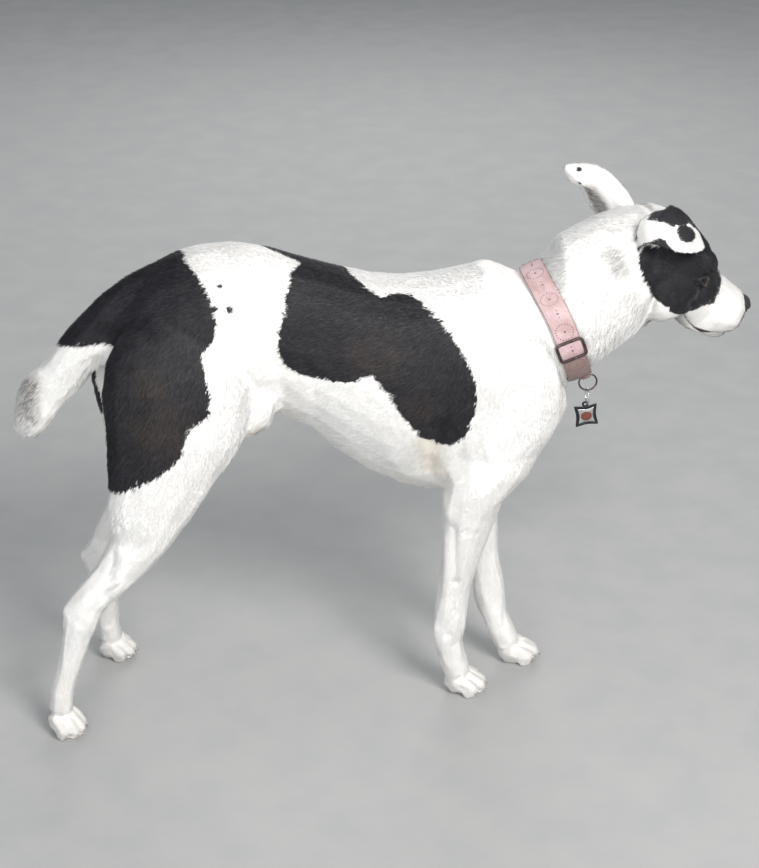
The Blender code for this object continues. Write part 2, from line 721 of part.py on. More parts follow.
def sleeve(name, place, bore, wall, length):
    """A short open tube along its own x axis."""
    around = 8
    mesh = bmesh.new()
    rings = []
    for x, radius in ((-length / 2, bore), (-length / 2, bore + wall),
                      (length / 2, bore + wall), (length / 2, bore)):
        ring = []
        for i in range(around):
            a = 2 * math.pi * i / around
            ring.append(mesh.verts.new(place @ Vector((x, radius * math.cos(a), radius * math.sin(a)))))
        rings.append(ring)
    for n in range(4):
        low, high = rings[n], rings[(n + 1) % 4]
        for i in range(around):
            j = (i + 1) % around
            mesh.faces.new((low[i], low[j], high[j], high[i]))
    return as_object(name, mesh)


def plate(name, place, outline, thick):
    """A flat plate with an x-z outline, as thick as asked along y."""
    mesh = bmesh.new()
    near = [mesh.verts.new(place @ Vector((x, -thick / 2, z))) for x, z in outline]
    far = [mesh.verts.new(place @ Vector((x, thick / 2, z))) for x, z in outline]
    mesh.faces.new(near)
    mesh.faces.new(far[::-1])
    for i in range(len(outline)):
        j = (i + 1) % len(outline)
        mesh.faces.new((near[i], far[i], far[j], near[j]))
    return as_object(name, mesh)


def tag_outline():
    """A square with sides that bend in and a lug on top."""
    half = TAG_SIZE / 2
    points = []
    for quarter in range(4):
        turn = math.radians(90 * quarter)
        for t in (-1.0, -0.5, 0.0, 0.5):
            x, z = half - TAG_WAIST * TAG_SIZE * (1 - t * t), half * t
            points.append((x * math.cos(turn) - z * math.sin(turn),
                           x * math.sin(turn) + z * math.cos(turn)))
    wide, high = TAG_LUG
    top = half - TAG_WAIST * TAG_SIZE
    points[6:7] = [(wide, top), (wide * 0.8, top + high), (-wide * 0.8, top + high), (-wide, top)]
    return points


# ---- parting the flesh -----------------------------------------------------
def slab(point, ahead, reach, wide, deep):
    """Corners of a box that starts at a plane: half height, half width, depth."""
    ahead = Vector(ahead).normalized()
    across = (Vector((0, 1, 0)) - ahead * ahead.y).normalized()
    up = ahead.cross(across)
    corners = []
    for u in (-reach, reach):
        for v in (-wide, wide):
            for w in (0.0, deep):
                corners.append(Vector(point) + up * u + across * v + ahead * w)
    return corners


def toward(path, side, index):
    """The way a leg's path runs at one of its stations."""
    before, after = path[index - 1], path[index + 1]
    return Vector((after[0] - before[0], side * (after[1] - before[1]), after[2] - before[2]))


def paint(thing, material):
    thing.data.materials.clear()
    thing.data.materials.append(finish(material))
    for polygon in thing.data.polygons:
        polygon.material_index = 0
    return thing


def make_paw(side, end, body, limb, path, kind, size):
    """One paw cut off the leg, flat underneath, with its four claws."""
    fine = unite("fine", paw_shells(side, limb, path, size, limb["paw"]), 0.25, 5)
    thin(fine, 205)
    x, y, z = limb[path][-2][:3]
    corners = slab((x, side * y, z), toward(limb[path], side, -2), 4.6, 4.6, 12.0)
    name = "paw_%s_%s" % (kind, end)
    paw = part_off(body, name, corners, keep=fine)
    drop(fine)
    ground = block([(x + u, side * y + v, w) for u in (-12, 12) for v in (-12, 12) for w in (-9, FLOOR)])
    combine(paw, ground, "DIFFERENCE")
    drop(ground)
    place = paw_frame(side, limb["paw"])
    for rank, (_, offset, reach, turn) in enumerate(toe_spread(size)):
        number = rank + 1 if side > 0 else 4 - rank
        nail = claw("claw_%s_%s_%d" % (kind, end, number), place @ claw_frame(size, offset, reach, turn))
        seat(paw, nail)
    return paint(largest(paw), "white_coat")


def make_legs(body):
    for side, end, fore, hind in ((-1, "right", FORE_RIGHT, HIND_RIGHT),
                                  (1, "left", FORE_LEFT, HIND_LEFT)):
        make_paw(side, end, body, fore, "arm", "front", FORE_PAW)
        make_paw(side, end, body, hind, "shank", "hind", HIND_PAW)

        corners = []
        elbow = fore["arm"][2][0] - 4.3
        for rear, inner, z in ((-4.0, FORE_MIDLINE, -2.0), (0.0, side * 2.9, 25.0),
                               (0.9, side * 4.6, 30.2)):
            for x in (elbow + rear, 25.0):
                corners += [(x, inner, z), (x, side * 12.0, z)]
        forearm = part_off(body, "forearm_" + end, corners)
        paint(forearm, "white_coat")
        chest_wall = ((side * 4.0, 26), (side * 8.1, 54.5), (side * 14, 54.5), (side * 14, 26))
        shoulder = part_off(body, "shoulder_" + end, prism(chest_wall, 5.0, 26.0))
        paint(shoulder, "white_coat")

        x, y, z = hind["shank"][-5][:3]
        corners = slab((x, side * y, z), toward(hind["shank"], side, -5), 4.6, 4.6, 20.0)
        paint(part_off(body, "metatarsus_" + end, corners), "white_coat")
        x, y, z = hind["shank"][1][:3]
        corners = slab((x, side * y, z), toward(hind["shank"], side, 1), 7.5, 6.2, 26.0)
        paint(part_off(body, "shank_" + end, corners), "white_coat")
        groin = ((side * 2.4, 22), (side * 3.0, 38.2), (side * 7.4, 56.5),
                 (side * 14, 56.5), (side * 14, 22))
        thigh = part_off(body, "thigh_" + end, prism(groin, -40.0, FLANK))
        paint(thigh, "black_coat")


def make_tail(body):
    corners = slab((-31.0, 0.0, 51.4), (-0.75, 0.0, -0.66), 3.6, 3.6, 22.0)
    paint(part_off(body, "tail", corners), "white_coat")


def make_head(body):
    """The head with its lower jaw, nose, eyes and ears."""
    fine = unite("fine", head_shells(), 0.3, 16)
    place = head_frame()
    press(fine, place, [((2.2, side * 3.9, 0.0), 2.0, (-0.15, -side * 0.5, 0.0)) for side in (-1, 1)])
    thin(fine, 1000)
    corners = slab((31.4, 1.3, 54.6), (0.98, 0.17, -0.08), 13.0, 12.0, 24.0)
    head = part_off(body, "head", corners, keep=fine)
    drop(fine)
    nose = ball("nose", NOSE_PLACE, NOSE_RADII, place, 2, "nose_leather")
    seat(head, nose)
    for side, end, curves in ((-1, "right", EAR_RIGHT), (1, "left", EAR_LEFT)):
        x, y, z = EYE_PLACE
        eye = ball("eye_" + end, (x, side * y, z), (EYE_RADIUS,) * 3, place, 2, "eye_gloss")
        seat(head, eye)
        leaf = paint(ear("ear_" + end, curves, side), "white_coat")
        seat(head, leaf)
        seat(body, leaf)
    largest(head)
    front, corner = MOUTH_FRONT, MOUTH_CORNER
    low = -11.0
    jaw_box = []
    for y in (-6.5, 6.5):
        jaw_box += [(front[0] + 1.0, y, front[2]), (front[0] + 1.0, y, low),
                    (corner[0] - 3.5, y, corner[2]), (corner[0] - 4.0, y, low)]
    jaw = part_off(head, "lower_jaw", [place @ Vector(p) for p in jaw_box])
    paint(jaw, "white_coat")
    paint(largest(head), "white_coat")
    return head


def make_collar():
    """The strap and what it carries; gives back what lies on the coat."""
    band = paint(strap(), "collar_rose")
    place = collar_frame()
    bulge = (SLIDE_OUTER[1] / 2 - SLIDE_BAR) ** 2 / (2 * COLLAR_DEEP)
    spot, away = strap_point(SLIDE_ANGLE, STRAP_THICK + FIT - bulge)
    across = Vector((1, 0, 0))
    turn = Matrix((across, away.cross(across), away)).transposed().to_4x4()
    slide = frame_loop("collar_slide", place @ Matrix.Translation(spot) @ turn,
                       SLIDE_OUTER, SLIDE_BAR, SLIDE_THICK)
    paint(slide, "dark_metal")

    bore = RING_WIRE + FIT
    spot, away = strap_point(RING_ANGLE, STRAP_THICK + LOOP_DROP + LOOP_WALL + bore)
    bar = place @ Matrix.Translation(spot + Vector((RING_AHEAD, 0, 0)))
    paint(sleeve("collar_loop", bar, bore, LOOP_WALL, LOOP_LENGTH), "collar_rose")
    flat_top = 0.7
    ring = bar @ Matrix.Translation((0, 0, -RING_RADIUS * flat_top))
    paint(wire_ring("collar_ring", ring, RING_RADIUS, RING_WIRE, flat_top), "dark_metal")
    ring_centre = ring.translation

    drop_by = RING_RADIUS - RING_WIRE - TAG_RING_WIRE - FIT + TAG_RING_RADIUS
    hang = Matrix.Translation(ring_centre - Vector((0, 0, drop_by)))
    sideways = Matrix.Rotation(math.radians(90), 4, "Z")
    paint(wire_ring("tag_ring", hang @ sideways, TAG_RING_RADIUS, TAG_RING_WIRE), "ring_metal")

    hole = Vector((0, 0, -TAG_RING_RADIUS - (TAG_HOLE - TAG_RING_WIRE - FIT)))
    middle = hole - Vector((0, 0, TAG_SIZE * (0.5 - TAG_WAIST) + TAG_LUG[1] * 0.45))
    tag = plate("tag", hang @ Matrix.Translation(middle), tag_outline(), TAG_THICK)
    round_hole = [(TAG_HOLE * math.cos(a), TAG_HOLE * math.sin(a))
                  for a in np.linspace(0, 2 * math.pi, 8, endpoint=False)]
    punch = plate("punch", hang @ Matrix.Translation(hole), round_hole, TAG_THICK * 3)
    combine(tag, punch, "DIFFERENCE")
    drop(punch)
    paint(tag, "tag_face")
    return band, slide


def make_trunk(body):
    """Neck, chest, loin and rump, from what is left when the limbs are off."""
    collar = make_collar()
    neck = part_off(body, "neck", slab((19.3, 0.0, 49.2), (0.93, 0.0, 0.36), 11.5, 8.5, 22.0))
    for piece in collar:
        seat(neck, piece)
        seat(body, piece)
    paint(largest(neck), "white_coat")
    whole = ((-12, 20), (12, 20), (12, 66), (-12, 66))
    rump = part_off(body, "rump", prism(whole, -40.0, FLANK))
    paint(rump, "white_coat")
    loin = part_off(body, "loin", prism(whole, -20.0, -4.0))
    paint(loin, "white_coat")
    body.name = "chest"
    paint(largest(body), "white_coat")


def stand_on_origin():
    """Move all so that the box is centred over the origin."""
    things = [thing for thing in bpy.context.scene.objects if thing.type == "MESH"]
    corners = np.concatenate([coords_of(thing) for thing in things])
    middle = (corners.min(axis=0) + corners.max(axis=0)) / 2
    shift = Vector((-middle[0], -middle[1], 0.0))
    for thing in things:
        thing.data.transform(Matrix.Translation(shift))


def build():
    for thing in list(bpy.data.objects):
        bpy.data.objects.remove(thing)
    body = unite("body", torso_shells(), 0.5, 50)
    thin(body, 2000)
    make_legs(body)
    make_tail(body)
    make_head(body)
    make_trunk(body)
    stand_on_origin()


build()
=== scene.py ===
"""Looks of the standing dog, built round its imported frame: skin, coat, eyes, nose, claws, collar, tag."""
import math

import bmesh
import bpy
import numpy as np
from mathutils import Matrix, Vector
from mathutils.bvhtree import BVHTree


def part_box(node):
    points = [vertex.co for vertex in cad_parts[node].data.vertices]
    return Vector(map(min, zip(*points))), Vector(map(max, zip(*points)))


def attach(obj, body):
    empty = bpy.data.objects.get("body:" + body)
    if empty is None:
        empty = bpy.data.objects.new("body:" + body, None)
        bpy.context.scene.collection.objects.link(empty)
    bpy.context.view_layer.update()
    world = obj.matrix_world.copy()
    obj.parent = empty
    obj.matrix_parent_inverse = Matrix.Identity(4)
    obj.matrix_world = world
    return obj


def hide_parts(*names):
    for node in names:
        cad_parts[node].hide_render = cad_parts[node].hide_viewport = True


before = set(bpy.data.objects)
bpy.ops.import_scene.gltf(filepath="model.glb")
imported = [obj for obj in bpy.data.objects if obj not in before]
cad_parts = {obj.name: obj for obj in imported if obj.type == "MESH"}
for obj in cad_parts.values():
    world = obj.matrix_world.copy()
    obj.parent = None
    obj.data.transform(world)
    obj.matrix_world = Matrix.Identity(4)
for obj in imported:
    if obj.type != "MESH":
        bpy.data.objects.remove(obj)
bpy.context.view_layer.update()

# ---- the body's own frame: centimetres, x ahead, y to the dog's left ------
CM = 0.01
COLLAR_CENTRE = (20.9, 0.0, 49.5)
strap_low, strap_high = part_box("collar_strap")
ORIGIN = np.array((strap_low + strap_high) / 2) - CM * np.array(COLLAR_CENTRE)
ORIGIN[2] = 0.0

HEAD_PLACE = (36.5, 2.3, 53.9)
HEAD_PITCH = 27.0              # degrees nose down
HEAD_YAW = 10.0                # degrees towards the dog's left
HEAD_TURN = (Matrix.Rotation(math.radians(HEAD_YAW), 4, "Z")
             @ Matrix.Rotation(math.radians(HEAD_PITCH), 4, "Y"))
HEAD_AXES = np.array(HEAD_TURN.to_3x3())
SIDES = (("right", -1), ("left", 1))

EYE_PLACE = (0.55, 3.6, -0.1)
EYE_RADIUS = 1.05
NOSE_PLACE = (9.75, 0.0, -1.45)
NOSE_RADII = (0.95, 1.4, 1.1)

# ---- the coat, region by region, in millimetres ---------------------------
# depth of the coat over the skin, length and width of a tuft, tufts per square
# centimetre, and the way the hair lies.
COAT = {
    "head": (1.1, 4.6, 0.85, 95, (-1, 0, 0.05)),
    "lower_jaw": (1.2, 5.0, 0.9, 90, (-1, 0, 0.0)),
    "ear_right": (0.6, 4.6, 0.9, 80, (1.0, -0.25, 0.2)),
    "ear_left": (0.6, 4.6, 0.9, 80, (-0.9, 0.8, 0.1)),
    "neck": (2.8, 10.0, 1.3, 42, (-0.75, 0, -0.6)),
    "chest": (2.0, 7.4, 1.2, 38, (-1, 0, -0.32)),
    "loin": (2.0, 7.4, 1.2, 40, (-1, 0, -0.25)),
    "rump": (2.0, 7.4, 1.2, 40, (-0.9, 0, -0.4)),
    "tail": (2.6, 9.5, 1.25, 60, (-0.62, 0.03, -0.75)),
    "shoulder": (1.8, 7.0, 1.15, 42, (-0.5, 0, -1)),
    "thigh": (1.9, 7.4, 1.2, 38, (-0.5, 0, -0.9)),
    "forearm": (1.4, 5.8, 1.0, 56, (-0.12, 0, -1)),
    "shank": (1.5, 6.2, 1.05, 50, (-0.5, 0, -0.85)),
    "metatarsus": (1.4, 5.6, 1.05, 60, (-0.1, 0, -1)),
    "paw_front": (1.1, 4.4, 0.95, 75, (0.85, 0, -0.5)),
    "paw_hind": (1.1, 4.4, 0.95, 75, (0.75, -0.45, -0.5)),
}


def in_body(points):
    """Points of the row frame, in metres, as points of the body's frame."""
    return (np.asarray(points, float) - ORIGIN) / CM


def in_frame(points):
    return np.asarray(points, float) * CM + ORIGIN


def in_head(points):
    """Points of the body's frame as points of the head's own frame."""
    return (np.asarray(points, float) - HEAD_PLACE) @ HEAD_AXES


def from_head(points):
    return np.asarray(points, float) @ HEAD_AXES.T + HEAD_PLACE


def unit(vectors):
    length = np.linalg.norm(vectors, axis=-1, keepdims=True)
    return vectors / np.maximum(length, 1e-9)


def ease(values, low, high):
    """0 at low, 1 at high, smooth between."""
    t = np.clip((values - low) / (high - low), 0, 1)
    return t * t * (3 - 2 * t)


def to_segment(points, start, end):
    """Distance of each point to the line from start to end, and how far along it is nearest."""
    start, end = np.array(start, float), np.array(end, float)
    along = end - start
    t = np.clip((points - start) @ along / max(along @ along, 1e-9), 0, 1)
    return np.linalg.norm(points - start - t[:, None] * along, axis=1), t


def mirrored(place, sign):
    """A place or a way on this side of the body: sign is -1 on the right, where y is turned over."""
    return np.multiply(place, (1, sign, 1))


def ring_angles(count):
    return [2 * math.pi * i / count for i in range(count)]


# ---- meshes ---------------------------------------------------------------
def linked(name, data):
    """An object with this data, in the scene."""
    thing = bpy.data.objects.new(name, data)
    bpy.context.scene.collection.objects.link(thing)
    return thing


def new_object(name, points, faces):
    """An object from points in the row frame."""
    mesh = bpy.data.meshes.new(name)
    mesh.from_pydata([tuple(p) for p in points], [], [tuple(f) for f in faces])
    mesh.update()
    mesh.shade_smooth()
    return linked(name, mesh)


def mesh_arrays(mesh):
    """Points and triangles of a mesh."""
    mesh.calc_loop_triangles()
    points = np.empty(len(mesh.vertices) * 3)
    mesh.vertices.foreach_get("co", points)
    faces = np.empty(len(mesh.loop_triangles) * 3, np.int32)
    mesh.loop_triangles.foreach_get("vertices", faces)
    return points.reshape(-1, 3), faces.reshape(-1, 3)


def array_mesh(name, points, faces):
    """A mesh of triangles straight from arrays."""
    mesh = bpy.data.meshes.new(name)
    mesh.vertices.add(len(points))
    mesh.vertices.foreach_set("co", np.asarray(points, np.float32).ravel())
    mesh.loops.add(len(faces) * 3)
    mesh.loops.foreach_set("vertex_index", np.asarray(faces, np.int32).ravel())
    mesh.polygons.add(len(faces))
    mesh.polygons.foreach_set("loop_start", np.arange(0, len(faces) * 3, 3, dtype=np.int32))
    mesh.update(calc_edges=True)
    mesh.shade_smooth()
    return mesh


def evaluated(thing):
    """The arrays of an object with its modifiers applied; the object is removed."""
    bpy.context.view_layer.update()
    graph = bpy.context.evaluated_depsgraph_get()
    mesh = bpy.data.meshes.new_from_object(thing.evaluated_get(graph))
    arrays = mesh_arrays(mesh)
    bpy.data.meshes.remove(mesh)
    drop(thing)
    return arrays


def drop(thing):
    mesh = thing.data
    bpy.data.objects.remove(thing)
    bpy.data.meshes.remove(mesh)


class Surface:
    """Points in centimetres and triangles, with what is worked out from them."""

    def __init__(self, points, faces):
        self.points = np.asarray(points, float)
        self.faces = np.asarray(faces)
        edges = np.concatenate([self.faces[:, [0, 1]], self.faces[:, [1, 2]], self.faces[:, [2, 0]]])
        edges = np.unique(np.sort(edges, axis=1), axis=0)
        both = np.concatenate([edges, edges[:, ::-1]])
        order = np.argsort(both[:, 0], kind="stable")
        self.neighbours = both[order, 1]
        self.count = np.bincount(both[:, 0], minlength=len(self.points))
        self.starts = np.concatenate([[0], np.cumsum(self.count)[:-1]])

    def mean(self, values):
        """Each point's neighbours' mean value."""
        sums = np.add.reduceat(values[self.neighbours], self.starts, axis=0)
        count = self.count if values.ndim == 1 else self.count[:, None]
        return sums / count

    def spread(self, values, rounds, share=0.6):
        for _ in range(rounds):
            values = values + share * (self.mean(values) - values)
        return values

    def relax(self, rounds, share=0.5, back=-0.53, weight=1.0):
        """Smooths the points without shrinking what they enclose."""
        for _ in range(rounds):
            self.points = self.points + weight * share * (self.mean(self.points) - self.points)
            self.points = self.points + weight * back * (self.mean(self.points) - self.points)

    def normals(self):
        a, b, c = (self.points[self.faces[:, i]] for i in range(3))
        face = np.cross(b - a, c - a)
        total = np.zeros_like(self.points)
        for i in range(3):
            for axis in range(3):
                total[:, axis] += np.bincount(self.faces[:, i], face[:, axis], len(self.points))
        return unit(total)


# ---- the collar's own frame: x along the neck, z to the neck's top --------
COLLAR_TILT = 21.0
COLLAR_DEEP = 8.25             # below the middle; it sinks into the coat of the neck's top
COLLAR_HIGH = 6.4
COLLAR_WIDE = 6.25
STRAP_LEAN = 0.017             # how the strap's top leans back, for each square centimetre up
STRAP_WIDTH = 2.9
STRAP_THICK = 0.30
COLLAR_AXES = np.array(Matrix.Rotation(math.radians(-COLLAR_TILT), 3, "Y"))


def to_band(points):
    """How far ahead of or behind the strap's edge each point of the body is, and its collar place."""
    local = (np.asarray(points) - COLLAR_CENTRE) @ COLLAR_AXES
    local[:, 0] += STRAP_LEAN * np.maximum(local[:, 2], 0) ** 2
    return np.abs(local[:, 0]) - STRAP_WIDTH / 2, local


def collar_deep(sine):
    return COLLAR_DEEP + (COLLAR_HIGH - COLLAR_DEEP) * ease(sine, -0.1, 0.8)


def strap_spots(angle, along, out):
    """Places on the strap in the body's frame; angle in degrees round from level on the right side."""
    a = np.radians(angle)
    deep = collar_deep(np.sin(a))
    lean = STRAP_LEAN * np.maximum(deep * np.sin(a), 0) ** 2
    line = np.stack([along - lean, -COLLAR_WIDE * np.cos(a), deep * np.sin(a)], -1)
    away = unit(np.stack([0 * a, -np.cos(a) / COLLAR_WIDE, np.sin(a) / deep], -1))
    return (line + away * np.asarray(out)[..., None]) @ COLLAR_AXES.T + COLLAR_CENTRE


# ---- skin -----------------------------------------------------------------
FINE_VOXEL = 0.0019            # metres
SWELL = 0.0004                 # closes the thin cuts between the nodes
FLESH = [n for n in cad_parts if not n.startswith(("claw", "collar", "tag"))]
COVERED = [n for n in FLESH if not n.startswith(("eye", "nose"))]
REGIONS = sorted(COAT)


HEAD_REGIONS = ("head", "lower_jaw", "ear_right", "ear_left")


def is_in(region, *names):
    """Whether each point's region is one of these."""
    return np.isin(region, [REGIONS.index(name) for name in names])


def region_of(node):
    """The row of the coat table that a node of flesh belongs to."""
    if node.startswith(("eye", "nose")):
        return REGIONS.index("head")
    return REGIONS.index(node if node in COAT else node.rsplit("_", 1)[0])


def flesh_mesh():
    """All nodes of flesh as one set of arrays, a little swollen, and each face's region."""
    points, faces, labels = [], [], []
    total = 0
    for node in FLESH:
        part = bmesh.new()
        part.from_mesh(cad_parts[node].data)
        bmesh.ops.remove_doubles(part, verts=part.verts, dist=1e-6)
        bmesh.ops.triangulate(part, faces=part.faces)
        part.normal_update()
        part.verts.index_update()
        points += [v.co + SWELL * v.normal for v in part.verts]
        faces += [[v.index + total for v in f.verts] for f in part.faces]
        labels += [region_of(node)] * len(part.faces)
        total += len(part.verts)
        part.free()
    return points, faces, np.array(labels)


def nearest_regions(tree, labels, points):
    found = [tree.find_nearest(Vector(p))[2] for p in in_frame(points)]
    return labels[found]


def refine(points, faces, wanted):
    """Splits each wanted triangle in four, with its neighbours made to fit."""
    edges = np.concatenate([faces[:, [0, 1]], faces[:, [1, 2]], faces[:, [2, 0]]])
    edges = np.sort(edges, axis=1)
    unique, place = np.unique(edges, axis=0, return_inverse=True)
    place = place.reshape(3, -1).T
    split = np.zeros(len(unique), bool)
    split[place[wanted].ravel()] = True
    fresh = np.cumsum(split) - 1 + len(points)
    points = np.concatenate([points, points[unique[split]].mean(axis=1)])
    cut = split[place]
    middle = fresh[place]
    ways = cut.sum(axis=1)
    out = [faces[ways == 0]]
    a, b, c = faces[ways == 3].T
    ab, bc, ca = middle[ways == 3].T
    out += [np.stack(t, 1) for t in ((a, ab, ca), (ab, b, bc), (ca, bc, c), (ab, bc, ca))]
    for turn in range(3):
        rolled = [(turn + i) % 3 for i in range(3)]
        one = (ways == 1) & cut[:, turn]
        a, b, c = faces[one][:, rolled].T
        ab = middle[one, turn]
        out += [np.stack(t, 1) for t in ((a, ab, c), (ab, b, c))]
        two = (ways == 2) & ~cut[:, turn]
        a, b, c = faces[two][:, rolled].T
        bc, ca = middle[two, rolled[1]], middle[two, rolled[2]]
        out += [np.stack(t, 1) for t in ((a, b, bc), (a, bc, ca), (ca, bc, c))]
    return points, np.concatenate(out)


def refine_near(points, faces, distance, reach):
    """Splits the triangles with a corner within reach, by a function of the points."""
    close = distance(points) < reach
    return refine(points, faces, close[faces].any(axis=1))


def plain_group(thing, points):
    """A vertex group over the body but not the head, the ears or the feet, for thinning out."""
    head, _ = to_segment(in_head(points), (-7, 0, 0), (9, 0, -2))
    left_ear, _ = to_segment(in_head(points), (-8, 3, 3), (-16, 9, 4))
    away = ease(head, 9.0, 11.0) * ease(left_ear, 4.0, 5.0) * ease(points[:, 2], 6.0, 9.0)
    group = thing.vertex_groups.new(name="plain")
    steps = 5
    for level in range(1, steps + 1):
        chosen = np.nonzero(np.round(away * steps) == level)[0]
        group.add([int(i) for i in chosen], level / steps, "REPLACE")


SMOOTHING = {                  # rounds of smoothing, where the solids' facets are large
    "head": 6, "lower_jaw": 6, "ear_right": 5, "ear_left": 5, "paw_front": 26, "paw_hind": 26,
    "metatarsus": 28, "forearm": 24, "shank": 16,
}
BODY_SMOOTHING = 34
THIN_OUT = 0.42                # share of the body's triangles kept


def make_base():
    """The flesh as one smooth surface through the thin cuts, and a way to look up its regions."""
    points, faces, labels = flesh_mesh()
    tree = BVHTree.FromPolygons(points, faces)
    raw = new_object("flesh", points, faces)
    blend = raw.modifiers.new("blend", "REMESH")
    blend.mode = "VOXEL"
    blend.voxel_size = FINE_VOXEL
    points, faces = evaluated(raw)
    base = Surface(in_body(points), faces)
    region = nearest_regions(tree, labels, base.points)
    rounds = np.array([SMOOTHING.get(name, BODY_SMOOTHING) for name in REGIONS], float)[region]
    rounds = base.spread(rounds, 12)
    for step in range(0, BODY_SMOOTHING, 2):
        base.relax(2, weight=np.clip((rounds - step) / 2, 0, 1)[:, None])
    thing = linked("base", array_mesh("base", in_frame(base.points), base.faces))
    plain_group(thing, base.points)
    thinner = thing.modifiers.new("thin out", "DECIMATE")
    thinner.ratio = THIN_OUT
    thinner.vertex_group = "plain"
    thinner.vertex_group_factor = 10.0
    points, faces = evaluated(thing)
    return in_body(points), faces, tree, labels


# ---- markings -------------------------------------------------------------
TRUNK_AXIS = 46.0              # height of the line the trunk's markings are measured round
DEGREE = 0.17                  # centimetres of skin for one degree round the trunk
EDGE = 0.22                    # how far a marking's edge wanders


def closed_curve(corners, steps=8):
    """A smooth closed line through its corners."""
    p = np.array(corners, float)
    t = (np.arange(steps) / steps)[:, None]
    lines = []
    for i in range(len(p)):
        a, b, c, d = p[i - 1], p[i], p[(i + 1) % len(p)], p[(i + 2) % len(p)]
        lines.append(b + 0.5 * t * (c - a + t * (2 * a - 5 * b + 4 * c - d + t * (3 * (b - c) + d - a))))
    return np.concatenate(lines)


def inside(spots, outline, margin=1.5):
    """Signed distance of flat points to a closed outline, above 0 inside it."""
    low, high = outline.min(axis=0) - margin, outline.max(axis=0) + margin
    near = np.all((spots > low) & (spots < high), axis=1)
    result = np.full(len(spots), -margin)
    result[near] = signed_distance(spots[near], outline)
    return result


def signed_distance(spots, outline):
    best = np.full(len(spots), 1e9)
    within = np.zeros(len(spots), bool)
    for a, b in zip(outline, np.roll(outline, -1, axis=0)):
        along = b - a
        t = np.clip((spots - a) @ along / (along @ along), 0, 1)
        best = np.minimum(best, np.linalg.norm(spots - a - t[:, None] * along, axis=1))
        crosses = (a[1] > spots[:, 1]) != (b[1] > spots[:, 1])
        if abs(b[1] - a[1]) > 1e-9:
            within ^= crosses & (spots[:, 0] < a[0] + (spots[:, 1] - a[1]) * along[0] / along[1])
    return np.where(within, best, -best)


def wander(points, size, seed):
    """Soft noise between -1 and 1 with features about size centimetres across."""
    total = np.zeros(len(points))
    draw = np.random.default_rng(seed)
    for octave in (1.0, 1.9, 3.7):
        for _ in range(5):
            way = unit(draw.normal(size=3)) * 2 * math.pi * octave / size
            total += np.sin(points @ way + draw.uniform(0, 6.28)) / octave ** 0.7
    return total / 6.0


# Round the trunk: x, and degrees from the spine, above 0 on the right side.
SADDLE = (
    (-13.0, -3), (-9.2, 4), (-10.4, 16), (-11.6, 46), (-12.0, 71), (-9.4, 92), (-4.5, 98),
    (-1.8, 89), (-0.1, 102), (1.8, 120), (4.3, 134), (7.6, 139), (9.7, 129), (10.4, 106),
    (9.2, 77), (7.5, 57), (5.6, 39), (3.7, 24), (1.8, 19), (0.1, 24), (-1.3, 17), (-3.2, 4),
    (-3.4, -16), (-0.5, -38), (2.6, -64), (1.8, -88), (-3.5, -101), (-8.5, -90),
    (-12.6, -68), (-14.6, -38),
)
# Seen from the side: x and height of the black rump's front edge and of its end on the thigh.
RUMP = {
    "right": ((-22.6, 60.5), (-22.2, 58.7), (-20.7, 57.4), (-19.5, 55.2), (-19.3, 51.6), (-20.8, 49.7),
              (-20.4, 47.0), (-20.4, 43.2), (-22.6, 41.6), (-24.0, 38.2), (-25.9, 36.3), (-28.8, 34.7),
              (-31.5, 33.6), (-37.0, 34.0), (-46.0, 49.0), (-30.0, 62.0)),
    "left": ((-22.6, 60.5), (-22.4, 58.4), (-21.8, 55.0), (-22.6, 51.0), (-21.4, 47.6), (-22.8, 44.4),
             (-25.4, 42.0), (-27.5, 39.6), (-30.6, 37.8), (-36.0, 37.0), (-46.0, 49.0), (-30.0, 62.0)),
}
WHITE_BETWEEN = {"right": 2.2, "left": 1.0}  # half width of the white between the thighs
TAIL_EDGE = 48.9               # height where the tail turns white
# In the head's frame, seen from the side: x and z.
MASK = {
    "right": ((-8.4, 1.6), (-8.6, -0.4), (-7.0, -1.9), (-5.2, -3.3), (-3.9, -4.0), (-2.3, -4.3), (-0.6, -4.8),
              (1.2, -4.2), (2.4, -3.5), (3.1, -2.8), (4.3, -2.4), (4.7, -1.2), (4.9, 0.0), (4.5, 1.1),
              (2.9, 2.6), (1.0, 5.0), (-2.0, 6.2), (-4.6, 5.4), (-6.6, 3.4)),
    "left": ((-5.6, 1.0), (-4.6, -1.6), (-2.4, -3.2), (0.4, -3.0), (2.4, -2.0), (3.2, -0.6), (2.6, 1.0),
             (0.8, 2.6), (-1.8, 4.2), (-4.6, 4.0)),
}
# The white band along the folded ear, in the head's frame seen from the side.
EAR_BAND = ((-10.9, 0.2), (-11.0, 2.2), (-10.7, 3.8), (-9.6, 4.55), (-7.4, 5.1), (-5.4, 5.75), (-3.2, 5.2),
            (-1.4, 4.2), (-2.4, 3.2), (-3.9, 3.0), (-6.2, 2.5), (-7.4, 2.7), (-8.3, 3.2), (-9.2, 2.6),
            (-9.5, 1.2), (-9.8, 0.0))
EAR_SPOT = ((-5.9, -6.6, 4.8), (1.42, 2.4, 0.90))
SPOTS = (                      # small spots on the skin: centre and radius
    ((-17.5, -6.1, 54.3), 0.46), ((-18.5, -5.0, 56.75), 0.26), ((-19.2, -6.2, 54.5), 0.34),
    ((-16.8, 6.4, 52.0), 0.42), ((-17.8, 5.2, 55.6), 0.30), ((9.0, 7.6, 41.0), 0.40),
)
FAR_EAR_SPOTS = (((-14.3, 7.6, 4.5), 0.30), ((-13.7, 7.1, 2.9), 0.26))
# Painted shade on the far ear's lower edge near its root, in the head's frame: from, to and radius.
FAR_EAR_SHADE = ((-12.2, 6.0, 2.4), (-10.6, 5.0, 1.6), 1.7)
# Painted shadow of the folded near ear on the neck behind it, in the head's frame: from, to and radius.
EAR_SHADOW_ON_NECK = ((-11.3, -4.2, -0.9), (-10.0, -4.8, -2.0), 1.8)
